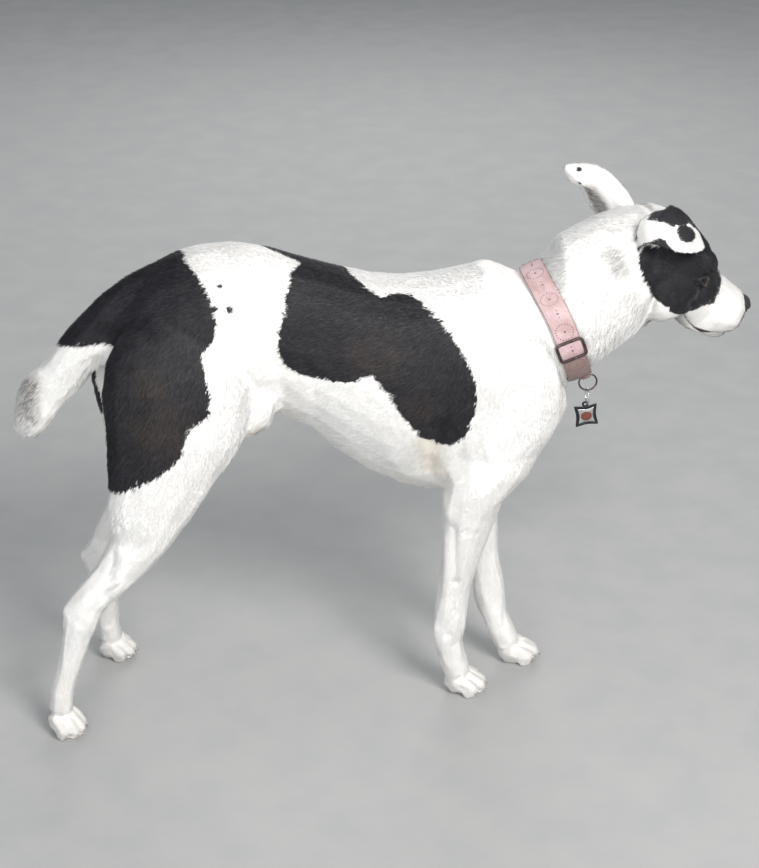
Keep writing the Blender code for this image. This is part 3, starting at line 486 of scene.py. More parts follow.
TAIL_SMUDGE = ((-40.2, -1.0, 43.8), (-40.8, -1.0, 40.2), 2.2)
# Painted shade in both armpits and in the fold of the right flank: from, to and radius.
PAINTED_CREASE_SHADE = (((5.0, -8.0, 37.4), (6.0, -7.2, 32.0), 2.4), ((5.0, 8.0, 37.4), (6.6, 7.2, 32.0), 2.4),
          ((-14.5, -6.0, 38.0), (-18.0, -5.5, 36.0), 2.6))


def black_at(points, normals, region):
    """How black the coat is: above 0 inside a marking, in centimetres from its edge."""
    x, y, z = points.T
    rough = EDGE * wander(points, 1.3, 11)
    is_head = is_in(region, *HEAD_REGIONS)
    is_neck = is_in(region, "neck")
    is_tail = is_in(region, "tail")
    degrees = np.degrees(np.arctan2(-y, z - TRUNK_AXIS))
    saddle = inside(np.stack([x, degrees * DEGREE], 1), closed_curve(np.array(SADDLE) * (1, DEGREE)))
    black = np.where(is_head | is_neck | is_tail | (x < -16), -9.0, saddle)
    flat = np.stack([x, z], 1)
    for side, sign in SIDES:
        rump = inside(flat, closed_curve(RUMP[side]))
        # white runs up between the thighs to the root of the tail
        white = WHITE_BETWEEN[side]
        between = sign * y - white * (1 + 1.1 * ease(-z, -50.0, -40.0)) + 30 * ease(z, 48.0, 50.5)
        facing_in = ease(-sign * normals[:, 1], 0.7 - 0.25 * white, 1.15 - 0.25 * white)
        facing_in = facing_in * ease(-z, -49.0, -46.0)
        rump = np.minimum(rump, between) - 6 * facing_in
        here = (sign * y > 0) & ~is_tail & (x < -14)
        black = np.where(here, np.maximum(black, rump), black)
    black = np.where(is_tail, z - TAIL_EDGE - 0.12 * (x + 35.0), black)
    head = in_head(points)
    side_view = head[:, [0, 2]]
    near = head[:, 1] < 0
    right, left = (inside(side_view, closed_curve(MASK[side])) for side in ("right", "left"))
    right = np.minimum(right, -head[:, 1] + 0.5 + 1.4 * ease(head[:, 0], -3.0, 1.0))
    left = np.minimum(left, head[:, 1] - 1.6)
    mask = np.where(near | (head[:, 1] < 1.6), right, left)
    face = is_head | (is_neck & (head[:, 0] > -9.2) & (head[:, 2] < 2.0))
    band = inside(side_view, closed_curve(EAR_BAND))
    spot = 1 - np.linalg.norm((head - EAR_SPOT[0]) / EAR_SPOT[1], axis=1)
    outer = normals @ HEAD_AXES @ np.array((-0.4, -0.75, 0.6))
    ear = np.where(outer > 0.0, np.maximum(-band, spot), 1.0)
    mask = np.where(is_in(region, "ear_right"), ear, mask)
    mask = np.where(is_in(region, "ear_left"), -9.0, mask)
    black = np.where(face, mask, black)
    black = black + rough
    for centre, radius in SPOTS:
        black = np.maximum(black, radius - np.linalg.norm(points - centre, axis=1) + 0.3 * rough)
    for centre, radius in FAR_EAR_SPOTS:
        black = np.maximum(black, radius - np.linalg.norm(head - centre, axis=1) + 0.4 * rough)
    return black


# Brown shows through the black here: centre and radius in the body's frame.
BROWN_SPOTS = (((-25.5, -10.5, 41.5), 6.0), ((-27.0, -9.8, 47.0), 3.5), ((-1.0, -8.0, 48.5), 5.0),
               ((4.0, -8.0, 42.0), 3.5), ((-26.5, 10.4, 43.0), 6.0), ((-3.0, 8.0, 47.0), 6.0))


def smudge(points, shape, strength, core):
    """A patch round a line: full within this share of its radius, and nothing outside it."""
    start, end, radius = shape
    away, _ = to_segment(points, start, end)
    return strength * ease(-away, -radius, -core * radius)


def tints(points, normals, region):
    """What skin and coat share: how far inside black; dirt on the feet together with painted shade on
    undersides and in creases; brown; grey, which is partly painted shade; width of black's edge.
    """
    black = black_at(points, normals, region)
    x, y, z = points.T
    # Darker towards the feet as dirt, darker on faces turned down as painted shade, and random patches as
    # dirt.
    stain = 0.25 * ease(-z, -9.0, -1.0) + 0.25 * ease(-normals[:, 2], 0.3, 0.95)
    stain += 0.16 * wander(points, 9.0, 21)
    # Painted shade laid into the armpits and the flank's fold.
    for shape in PAINTED_CREASE_SHADE:
        stain += smudge(points, shape, 1.1, 0.2)
    brown = np.zeros(len(points))
    for centre, radius in BROWN_SPOTS:
        brown = np.maximum(brown, ease(-np.linalg.norm(points - centre, axis=1), -radius, -0.2 * radius))
    brown = np.clip(brown * (0.75 + 0.5 * wander(points, 4.0, 22)), 0, 1)
    head = in_head(points)
    behind = ease(-normals[:, 0], -0.7, 0.1) * is_in(region, "tail")
    grey = smudge(points, TAIL_SMUDGE, 0.8, 0.1) * behind
    # Painted shade on the far ear's lower edge.
    grey += smudge(head, FAR_EAR_SHADE, 0.9, 0.3) * is_in(region, "ear_left")
    # Painted shadow of the near ear on the neck.
    grey += smudge(head, EAR_SHADOW_ON_NECK, 0.5, 0.2) * is_in(region, "neck", "head")
    soft = 0.07 + 0.20 * ease(head[:, 0], 2.0, 4.0) * (x > 30)
    return black, np.clip(stain, 0, 1), brown, grey, soft


# ---- the finished skin ----------------------------------------------------
# Longer hair: from, to, radius and how many times longer.  y is turned over
# for the other side where it isn't 0.
LONG_HAIR = (
    ((23.0, 0, 40.5), (31.0, 1.2, 48.0), 4.5, 1.55),          # throat
    ((26.0, 5.5, 47.0), (30.0, 6.0, 52.0), 3.5, 1.25),        # side of the neck
    ((12.0, 0, 27.5), (-8.0, 0, 36.0), 6.0, 1.45),            # belly
    ((-32.5, 7.5, 39.0), (-31.0, 8.5, 30.0), 3.2, 1.9),       # back of the thigh
    ((-14.0, 6.0, 40.5), (-18.5, 7.5, 37.0), 2.6, 1.7),       # fold of the flank
    ((-33.0, 0, 45.5), (-40.0, 0.5, 38.0), 3.4, 1.35),        # underside and tip of the tail
    ((7.0, 6.5, 31.0), (9.0, 6.5, 28.0), 2.4, 1.4),           # elbow
    ((20.0, 0, 36.0), (21.0, 0, 45.0), 5.0, 1.25),            # breast
)


def hair_growth(points):
    growth = np.ones(len(points))
    for start, end, radius, times in LONG_HAIR:
        for _, sign in SIDES:
            away, _ = to_segment(points, mirrored(start, sign), mirrored(end, sign))
            growth = np.maximum(growth, 1 + (times - 1) * ease(-away, -radius, -0.25 * radius))
    return growth


# Forms under the skin: from, to, radius, and millimetres out or, below 0, in.
# Each is pushed out once for each side, so one on the middle line, where y is 0, stands twice its height.
BODY_FORMS = (
    ((-23.5, 0, 57.5), (-16.0, 0, 58.8), 4.2, 2.2),           # croup
    ((14.4, 0, 55.0), (16.6, 0, 55.2), 2.8, 2.8),             # withers
    ((-27.5, 5.2, 52.4), (-31.0, 3.2, 50.0), 1.2, -4.2),      # hollow beside the tail's root
    ((-26.8, 3.8, 54.2), (-31.4, 2.0, 51.8), 1.2, 1.4),
    ((-17.0, 9.0, 35.5), (-13.5, 7.0, 42.5), 1.5, 2.2),       # fold of the flank
    ((-12.5, 6.0, 46.5), (-13.5, 6.4, 44.0), 3.0, -3.0),      # hollow before the thigh
    ((-13.0, 5.5, 52.0), (-9.0, 6.0, 50.5), 3.2, -1.8),       # hollow of the loin
    ((-19.5, 4.8, 57.0), (-19.0, 5.2, 56.4), 2.2, 1.8),       # point of the hip
    ((-16.0, 0, 59.8), (11.0, 0, 56.6), 1.1, 0.9),            # spine
    ((11.5, 4.4, 54.0), (15.5, 8.4, 42.5), 1.5, 1.5),         # ridge of the shoulder blade
    ((5.5, 8.4, 47.0), (4.5, 8.8, 41.0), 3.0, -1.6),          # hollow behind the shoulder
    ((6.4, 8.6, 38.8), (5.4, 7.0, 32.6), 1.2, -4.5),          # hollow of the armpit
    ((-40.6, -0.4, 43.4), (-41.4, -0.4, 39.6), 1.9, 4.0),     # the tail's blunt end
    ((-39.2, 0.2, 40.4), (-40.6, -0.2, 38.6), 1.5, 4.0),
    ((19.6, 5.6, 41.0), (18.0, 6.6, 38.0), 2.6, 1.6),         # point of the shoulder
    ((17.6, 5.0, 47.5), (20.0, 4.6, 43.0), 1.6, -1.8),        # groove before the shoulder
    ((-29.0, 10.6, 47.0), (-30.0, 10.2, 34.5), 1.4, -1.8),    # groove down the thigh
    ((-24.5, 11.4, 46.0), (-25.5, 11.2, 40.0), 3.6, 1.4),     # great muscle of the thigh
    ((-33.0, 4.2, 50.0), (-32.6, 4.8, 49.0), 1.8, 2.0),       # seat bone
    ((-31.6, 6.0, 46.8), (-31.4, 5.4, 48.8), 1.5, -2.4),      # hollow under the tail's root
    ((29.4, 5.4, 52.6), (31.0, 3.4, 48.0), 1.0, -2.0),        # crease behind the jaw
    ((26.4, 6.2, 50.0), (24.6, 3.2, 43.6), 0.8, 1.4),         # folds of the throat
    ((27.8, 5.8, 49.0), (26.6, 3.0, 44.6), 0.6, -1.4),
    ((23.4, 6.0, 48.0), (22.4, 3.6, 42.4), 0.6, -1.2),
)
LEG_FORMS = {
    "right": (
        ((-32.1, 9.6, 25.4), (-33.4, 9.8, 19.6), 0.55, -3.0),  # hollow before the great tendon
        ((-31.4, 6.2, 26.5), (-35.4, 6.6, 19.6), 0.9, -3.0),
        ((-30.2, 9.9, 31.0), (-31.3, 9.7, 25.5), 0.7, 0.9),   # sinew along the outside of the shank
        ((-31.3, 9.7, 25.5), (-32.3, 9.7, 19.8), 0.6, 1.5),
        ((-29.2, 10.2, 27.0), (-30.4, 10.0, 22.0), 1.1, -1.8),
        ((-30.2, 10.2, 25.6), (-28.2, 10.3, 27.4), 0.3, -1.0),
        ((-36.2, 9.7, 16.2), (-37.6, 9.0, 17.0), 0.3, -1.2),
        ((-39.0, 8.0, 16.6), (-38.8, 8.0, 15.8), 0.9, 1.4),   # point of the hock
        ((-35.6, 9.6, 16.2), (-35.4, 9.4, 15.0), 0.8, 1.2),   # ankle bones
        ((-36.8, 9.3, 14.0), (-38.6, 9.1, 7.0), 0.6, -0.9),   # sinews of the hind foot
        ((-21.6, 8.2, 32.0), (-22.4, 8.2, 29.0), 1.5, 1.8),   # kneecap
        ((8.2, 8.0, 25.6), (8.6, 7.1, 17.6), 0.45, -2.6),     # groove behind the forearm's bone
        ((8.6, 7.1, 17.6), (7.6, 6.4, 9.6), 0.45, -2.4),
        ((7.2, 7.1, 23.5), (7.7, 6.4, 11.8), 0.5, 1.2),
        ((11.6, 8.2, 27.0), (9.2, 6.6, 13.0), 0.7, -1.0),
        ((9.0, 8.4, 25.2), (11.4, 8.4, 25.0), 0.2, -0.8),
        ((9.6, 5.2, 10.4), (9.8, 4.8, 8.6), 0.9, 0.9),        # wrist
        ((6.7, 5.6, 10.2), (6.4, 5.4, 7.4), 0.75, 2.4),       # pad behind the wrist
        ((7.0, 7.4, 28.4), (7.2, 7.4, 27.6), 1.0, 3.0),       # elbow
        ((14.0, 8.6, 33.0), (13.2, 8.6, 30.0), 2.0, 1.2),     # head of the forearm
    ),
    "left": (
        ((-30.8, 9.0, 25.0), (-34.0, 9.0, 18.4), 0.9, -3.0),
        ((-30.8, 6.0, 25.0), (-34.0, 6.2, 18.4), 0.9, -3.0),
        ((-37.4, 7.6, 15.4), (-37.2, 7.6, 14.6), 0.9, 1.4),
        ((-33.6, 9.2, 15.0), (-33.4, 9.2, 13.8), 0.8, 1.2),
        ((-33.6, 9.2, 12.8), (-33.2, 9.4, 6.6), 0.6, -0.9),
        ((-23.0, 8.2, 31.4), (-23.6, 8.2, 28.6), 1.5, 1.8),
        ((11.2, 8.4, 25.6), (12.8, 5.6, 12.0), 0.5, -2.4),
        ((13.4, 8.0, 26.6), (14.6, 5.4, 12.6), 0.7, -1.0),
        ((15.9, 3.2, 10.2), (16.3, 3.0, 8.4), 0.9, 0.9),
        ((13.0, 3.2, 10.2), (12.9, 3.1, 7.4), 0.75, 2.4),
        ((8.0, 7.4, 28.6), (8.0, 7.4, 27.8), 1.0, 2.6),
        ((14.8, 8.6, 33.0), (14.6, 8.6, 30.0), 2.0, 1.2),
    ),
}
RIBS = 6
# The same in the head's frame.
HEAD_FORMS = (
    ((-2.0, 4.0, 3.3), (-3.6, 4.3, 2.6), 1.4, -1.6),          # temple
    ((0.4, 4.5, -1.9), (-5.0, 5.4, -0.9), 0.8, 1.3),          # cheek bone
    ((0.2, 0, 4.8), (3.6, 0, 2.2), 0.7, -1.2),                # furrow of the forehead
    ((1.6, 2.5, 2.5), (-0.6, 3.9, 2.4), 0.7, 1.7),            # brow
    ((-3.6, 5.3, -3.2), (-4.4, 5.3, -3.6), 1.9, 1.6),         # muscle of the cheek
    ((2.7, 3.0, -0.9), (3.5, 2.6, -0.9), 0.8, -1.4),          # hollow before the eye
    ((3.8, 2.9, -2.6), (7.6, 2.2, -2.2), 0.7, -0.8),          # side of the muzzle
    ((7.0, 2.4, -3.7), (8.4, 2.1, -3.4), 1.1, 1.3),           # lip's cushion
    ((1.0, 4.3, -3.0), (-1.0, 4.9, -2.8), 0.42, -1.8),        # creases over the mouth's corner
    ((1.0, 4.0, -4.0), (-0.8, 4.9, -3.6), 0.45, 1.4),
    ((-0.8, 4.9, -3.5), (-2.4, 5.4, -2.6), 0.4, -1.0),
)
LIP_LINE = ((10.5, -3.9), (9.6, -4.6), (8.4, -5.3), (7.0, -5.8), (5.6, -6.0), (4.2, -5.95), (3.0, -5.55),
            (2.1, -5.1), (1.3, -4.6))
LIP_GROOVE = (0.11, 2.2)       # radius in centimetres, depth in millimetres
FLEWS = ((3.9, 2.0, -5.4), (5.2, 1.9, -5.6), 1.3, 0.55)  # from, to, radius, how far they hang
CORNER = (1.3, 1.75, 0.62, -4.6)  # x, half width, share taken off the jaw under it, and height

# ---- eyes: where the lids open --------------------------------------------
GAZE = (0.55, 0.80, 0.17)      # the way the opening faces, y towards its side
TO_TEAR = (0.84, -0.50, -0.12)  # towards the inner corner
OPEN_HALF = 0.84
OPEN_UP = 0.47
OPEN_DOWN = 0.37
LID_THICK = 0.10


def eye_frame(sign):
    """Centre, and ways to the inner corner, up and out, in the head's frame."""
    out = unit(mirrored(GAZE, sign))
    inner = mirrored(TO_TEAR, sign)
    inner = unit(inner - out * (inner @ out))
    up = np.cross(out, inner) * sign
    return mirrored(EYE_PLACE, sign), inner, up if up[2] > 0 else -up, out


def opening(u):
    """Half height of the opening above and below its middle line."""
    shape = np.clip(1 - (u / OPEN_HALF) ** 2, 0, 1)
    return OPEN_UP * shape ** 0.62, OPEN_DOWN * shape ** 0.75


def from_lid(u, v):
    """How far a spot is outside the opening."""
    up, down = opening(u)
    gap = np.where(v > 0, v - up, -v - down)
    beyond = np.hypot(np.maximum(np.abs(u) - OPEN_HALF, 0), v)
    return np.where(np.abs(u) < OPEN_HALF, gap, beyond)


PAWS = ("front_right", "front_left", "hind_right", "hind_left")


def claw_lines(paw):
    """The base and the tip of each of a paw's claws in the body's frame."""
    lines = []
    for number in range(1, 5):
        points, _ = mesh_arrays(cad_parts["claw_%s_%d" % (paw, number)].data)
        points = in_body(points)
        middle = points.mean(axis=0)
        way = np.linalg.svd(points - middle)[2][0]
        way = way if way[2] < 0 else -way
        reach = (points - middle) @ way
        lines.append((middle + way * reach.min(), middle + way * reach.max()))
    return lines


class Skin(Surface):
    """The finished skin with the coat's fields on its points."""

    def __init__(self, points, faces, tree, labels):
        super().__init__(*self.refined(points, faces))
        breast, _ = to_segment(self.points, (19.5, 0, 33.5), (21.5, 0, 39.0))
        self.relax(24, weight=ease(-breast, -5.0, -2.5)[:, None])
        self.region = nearest_regions(tree, labels, self.points)
        table = np.array([COAT[name][:4] for name in REGIONS], float)[self.region]
        fields = self.spread(table, 16)
        self.depth, self.length, self.width, self.density = fields.T
        ways = np.array([COAT[name][4] for name in REGIONS], float)
        for i, name in enumerate(REGIONS):
            if name in HEAD_REGIONS:
                ways[i] = HEAD_AXES @ ways[i]
        lie = unit(ways)[self.region]
        hang = ease(-self.points[:, 2], -52.0, -46.0) * is_in(self.region, "neck")
        lie = lie + hang[:, None] * (np.array((-0.15, 0, -1.0)) - lie)
        normals = self.normals()
        for _ in range(6):
            lie = self.spread(lie, 6)
            lie = unit(lie - normals * np.sum(lie * normals, axis=1, keepdims=True))
        self.lie = lie
        self.bare = np.zeros(len(self.points))
        self.hairy = np.ones(len(self.points))
        self.black, self.stain, self.brown, self.grey, self.soft = tints(self.points, normals, self.region)
        self.points = self.points - 0.1 * normals * self.depth[:, None]
        self.sculpt()
        self.shade = self.normals()

    def refined(self, points, faces):
        """Finer round the eyes, the toes, the small spots and the lips, in this order."""
        for sign in (-1, 1):
            for reach in (2.3, 1.7):
                points, faces = refine_near(points, faces, lambda p: np.linalg.norm(
                    in_head(p) - mirrored(EYE_PLACE, sign), axis=1), reach)
        places = [(np.mean([base for base, _ in claw_lines(paw)], axis=0), (4.4,)) for paw in PAWS]
        places += [(centre, (1.6, 1.2)) for centre, _ in SPOTS]
        for centre, reaches in places:
            for reach in reaches:
                points, faces = refine_near(points, faces,
                                            lambda p: np.linalg.norm(p - centre, axis=1), reach)
        for reach in (0.95, 0.6):
            points, faces = refine_near(points, faces, lambda p: self.from_lips(in_head(p)), reach)
        return points, faces

    @staticmethod
    def from_lips(head):
        """Distance to the line where the lips meet, seen from the side."""
        path = np.array(LIP_LINE)
        flat = head[:, [0, 2]]
        away = [to_segment(flat, a, b)[0] for a, b in zip(path[:-1], path[1:])]
        closed = np.minimum.reduce(away)
        aside = np.abs(head[:, 1])
        return np.where((aside < 4.6) & ((aside > 0.9) | (head[:, 0] > 7.2)), closed, 9.0)

    def push(self, forms, places, signs):
        for start, end, radius, height in forms:
            for sign in signs:
                away, _ = to_segment(places, mirrored(start, sign), mirrored(end, sign))
                self.points += (0.1 * height * np.exp(-(away / radius) ** 2))[:, None] * self.now

    def sculpt(self):
        """Muscles and bones under the skin, the mouth, the lids and the rim of the nose."""
        self.now = self.normals()
        self.push(BODY_FORMS, self.points.copy(), (-1, 1))
        for side, sign in SIDES:
            self.push(LEG_FORMS[side], self.points.copy(), (sign,))
        for rib in range(RIBS):
            top, low = (6.5 - 2.6 * rib, 7.6, 50.5), (3.0 - 2.6 * rib, 7.4, 38.5)
            self.push(((top, low, 0.75, 0.45),), self.points.copy(), (-1, 1))
        head = in_head(self.points)
        self.push(HEAD_FORMS, head, (-1, 1))
        self.close_mouth()
        lips = self.from_lips(in_head(self.points))
        radius, depth = LIP_GROOVE
        self.points -= (0.1 * depth * np.exp(-(lips / radius) ** 2))[:, None] * self.now
        lower = in_head(self.points)
        showing = 0.16 * np.exp(-((lower[:, 0] - 5.8) / 1.2) ** 2)
        self.bare = np.maximum(self.bare, ease(-lips, -0.15 - showing, -0.07 - showing))
        self.flush = np.exp(-((lower[:, 0] - 6.0) / 1.6) ** 2) * (lips < 0.6)
        self.hairy *= ease(lips, 0.05 + showing, 0.15 + showing)
        self.open_eyes()
        self.seat_nose()
        self.lift_far_ear()
        self.press_collar()
        self.shape_paws()
        under = ease(-self.now[:, 2], 0.55, 0.85) * ease(-self.points[:, 2], -0.9, -0.3)
        self.bare = np.maximum(self.bare, under)
        self.hairy *= (1 - under) * ease(self.points[:, 2], 0.10, 0.25)
        self.points[:, 2] = np.maximum(self.points[:, 2], 0.02)

    def close_mouth(self):
        """The upper lips hang over the jaw, which is slight under the mouth's corners."""
        head = in_head(self.points)
        start, end, radius, hang = FLEWS
        drop = np.zeros(len(head))
        for sign in (-1, 1):
            away, _ = to_segment(head, mirrored(start, sign), mirrored(end, sign))
            drop = np.maximum(drop, hang * np.exp(-(away / radius) ** 2))
        place, reach, share, height = CORNER
        share = share * np.exp(-((head[:, 0] - place) / reach) ** 2)
        share = share * (self.points[:, 0] > 30)
        rise = share * np.maximum(height - head[:, 2], 0)
        self.points += (rise - drop)[:, None] * HEAD_AXES[:, 2]

    def lift_far_ear(self):
        """The far ear's lower edge is cut away towards its tip."""
        head = in_head(self.points)
        rise = 0.95 * np.exp(-((head[:, 0] + 13.0) / 1.3) ** 2) * ease(-head[:, 2], -3.4, -1.4)
        rise *= is_in(self.region, "ear_left")
        self.points += rise[:, None] * HEAD_AXES[:, 2]

    def press_collar(self):
        """The strap sinks into the neck, deepest at the top."""
        band, local = to_band(self.points)
        sine = local[:, 2] / np.hypot(local[:, 1], local[:, 2])
        size = np.hypot(local[:, 1] / COLLAR_WIDE, local[:, 2] / collar_deep(sine))
        behind_top = ease(sine, 0.3, 0.8) * (local[:, 0] < 0)
        slope = np.where(local[:, 0] > 0, 0.090, 0.045) + 0.10 * behind_top
        allowed = 0.965 + slope * np.maximum(band, 0)
        limit = 1.12 + 0.45 * ease(sine, 0.0, 0.6)
        reach = 2.5 - 1.9 * behind_top
        share = (1 - ease(size, limit, limit + 0.25)) * (1 - ease(band - reach, 0.0, 2.5))
        share *= self.points[:, 0] > 8
        over = np.maximum(size - allowed, 0) * share
        kept = local / (1 + over / allowed)[:, None]
        moved = (kept - local) * (0, 1, 1)
        self.points += moved @ COLLAR_AXES.T
        self.hairy *= ease(band, -0.05, 0.15)

    def shape_paws(self):
        """Four toes to each paw, each over its own claw, with grooves between them."""
        places = self.points.copy()
        for paw in PAWS:
            toes = claw_lines(paw)
            ahead = unit((sum(tip - base for base, tip in toes)) * (1, 1, 0))
            rise = np.array((0, 0, 1))
            for base, _ in toes:
                self.push(((base - 0.1 * ahead + 0.25 * rise, base - 1.4 * ahead + 1.3 * rise, 0.55, 2.4),),
                          places, (1,))
            for (first, _), (second, _) in zip(toes, toes[1:]):
                middle = (first + second) / 2
                front, back = middle + 0.6 * ahead - 0.9 * rise, middle - 1.9 * ahead + 1.2 * rise
                self.push(((front, back, 0.24, -4.5),), places, (1,))

    def open_eyes(self):
        for _, sign in SIDES:
            head = in_head(self.points)
            centre, inner, up, out = eye_frame(sign)
            q = head - centre
            distance = np.linalg.norm(q, axis=1)
            on_ball = q * (EYE_RADIUS / distance)[:, None]
            u, v, w = on_ball @ inner, on_ball @ up, on_ball @ out
            close = (distance < 2.6) & (w > 0)
            gap = from_lid(u, v)
            ball = EYE_RADIUS + LID_THICK * (0.8 + 0.6 * np.exp(-((gap - 0.10) / 0.08) ** 2))
            crease = 0.08 * np.exp(-((gap - 0.30) / 0.06) ** 2) * (v > 0)
            inside_lids = ease(-gap, 0.0, 0.05)
            reach = (ball - crease) * (1 - inside_lids) + (EYE_RADIUS - 0.18) * inside_lids
            hold = (1 - ease(gap, 0.20, 0.55)) * ease(w, 0.02, 0.40)
            target = centre + q / distance[:, None] * (reach * hold + distance * (1 - hold))[:, None]
            self.points = np.where(close[:, None], from_head(target), self.points)
            self.bare = np.where(close, np.maximum(self.bare, 1 - ease(gap, 0.10, 0.24)), self.bare)
            self.hairy = np.where(close, self.hairy * ease(gap, 0.10, 0.24), self.hairy)

    def seat_nose(self):
        """The skin dips under the nose's leather."""
        head = in_head(self.points)
        q = (head - NOSE_PLACE) / NOSE_RADII
        size = np.linalg.norm(q, axis=1)
        inner = NOSE_PLACE + q / np.maximum(size, 0.05)[:, None] * (np.array(NOSE_RADII) * 0.86)
        sunk = from_head(np.where((size < 1.06)[:, None], inner, head))
        self.points = np.where((size < 1.06)[:, None], sunk, self.points)
        self.hairy *= ease(size, 1.04, 1.14)
        self.bare = np.maximum(self.bare, ease(-size, -1.14, -1.04))


def give_attribute(mesh, name, values):
    kind, key = ("FLOAT", "value") if values.ndim == 1 else ("FLOAT_VECTOR", "vector")
    layer = mesh.attributes.new(name, kind, "POINT")
    layer.data.foreach_set(key, np.asarray(values, np.float32).ravel())


def make_skin():
    skin = Skin(*make_base())
    mesh = array_mesh("skin", in_frame(skin.points), skin.faces)
    give_attribute(mesh, "marking", ease(skin.black / skin.soft, -0.7, 0.7))
    for name in ("stain", "brown", "grey", "bare", "flush", "lie"):
        give_attribute(mesh, name, getattr(skin, name))
    thing = linked("skin", mesh)
    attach(thing, "root")
    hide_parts(*COVERED)
    return thing, skin


# ---- coat -----------------------------------------------------------------
COAT_PIECES = {
    "coat_head": HEAD_REGIONS,
    "coat_neck": ("neck",),
    "coat_chest": ("chest",),
    "coat_back": ("loin", "rump"),
    "coat_tail": ("tail",),
    "coat_front_leg": ("shoulder", "forearm", "paw_front"),
    "coat_hind_leg": ("thigh", "shank", "metatarsus", "paw_hind"),
}
TWO_SIDED = ("coat_head", "coat_front_leg", "coat_hind_leg")
PATCH = 0.0015                 # half a tuft's patch on the map
LONG_TUFT = 13.0               # millimetres, from which a tuft is a bent lock


def unwrap(points, faces):
    """Each face's corners on an unwrap of these faces."""
    used, place = np.unique(faces, return_inverse=True)
    mesh = array_mesh("unwrap", in_frame(points[used]), place.reshape(-1, 3))
    thing = linked("unwrap", mesh)
    bpy.context.view_layer.objects.active = thing
    thing.select_set(True)
    bpy.ops.object.mode_set(mode="EDIT")
    bpy.ops.mesh.select_all(action="SELECT")
    bpy.ops.uv.smart_project(angle_limit=math.radians(60), island_margin=0.004)
    bpy.ops.object.mode_set(mode="OBJECT")
    corners = np.empty(len(mesh.loops) * 2, np.float32)
    mesh.uv_layers.active.data.foreach_get("uv", corners)
    drop(thing)
    return corners.reshape(-1, 3, 2).astype(float)


def scatter(skin, chosen, draw, share):
    """Even random places on the chosen faces: face and weights of its corners."""
    a, b, c = (skin.points[skin.faces[chosen, i]] for i in range(3))
    area = 0.5 * np.linalg.norm(np.cross(b - a, c - a), axis=1)
    expected = np.cumsum(area * skin.density[skin.faces[chosen]].mean(axis=1) * share)
    count = int(expected[-1])
    marks = np.arange(count) + draw.uniform(0, 1, count)
    face = np.minimum(np.searchsorted(expected, marks), len(chosen) - 1)
    u, v = draw.uniform(0, 1, (2, count))
    flip = u + v > 1
    u, v = np.where(flip, 1 - u, u), np.where(flip, 1 - v, v)
    return face, np.stack([1 - u - v, u, v], 1)


def tuft_shapes(root, normal, lie, side, length, width, lift, sink, bend):
    """Points, normals and faces of one kind of tuft: a spike, or with bend a lock in two lengths."""
    n = len(root)
    column = lambda values: values[:, None]
    ridge = 0.45
    low = root - normal * sink
    rings = [(low, 1.0)]
    if bend:
        half = root + lie * column(0.5 * length) + normal * column(0.75 * lift)
        rings.append((half, 0.8))
    tip = root + lie * column(length) + normal * column(lift)
    points, normals = [], []
    for centre, share in rings:
        across = side * column(0.5 * width * share)
        points += [centre + normal * column(ridge * width * share), centre + across, centre - across]
        normals += [normal, unit(normal + 0.35 * side), unit(normal - 0.35 * side)]
    points.append(tip)
    normals.append(unit(normal + 0.1 * lie))
    per = len(points)
    faces = [(0, 1, 2)]
    for ring in range(len(rings) - 1):
        for a, b in ((0, 1), (1, 2), (2, 0)):
            first, second = 3 * ring + a, 3 * ring + b
            faces += [(first, first + 3, second), (second, first + 3, second + 3)]
    last = 3 * (len(rings) - 1)
    faces += [(last + a, per - 1, last + b) for a, b in ((0, 1), (1, 2), (2, 0))]
    faces = np.array(faces)[None] + per * np.arange(n)[:, None, None]
    spots = np.array([(0, -0.4), (-1, -1), (1, -1), (0, 0.2), (-0.8, 0), (0.8, 0)][:per - 1] + [(0, 1)])
    return (np.stack(points, 1), np.stack(normals, 1), faces, spots * PATCH)


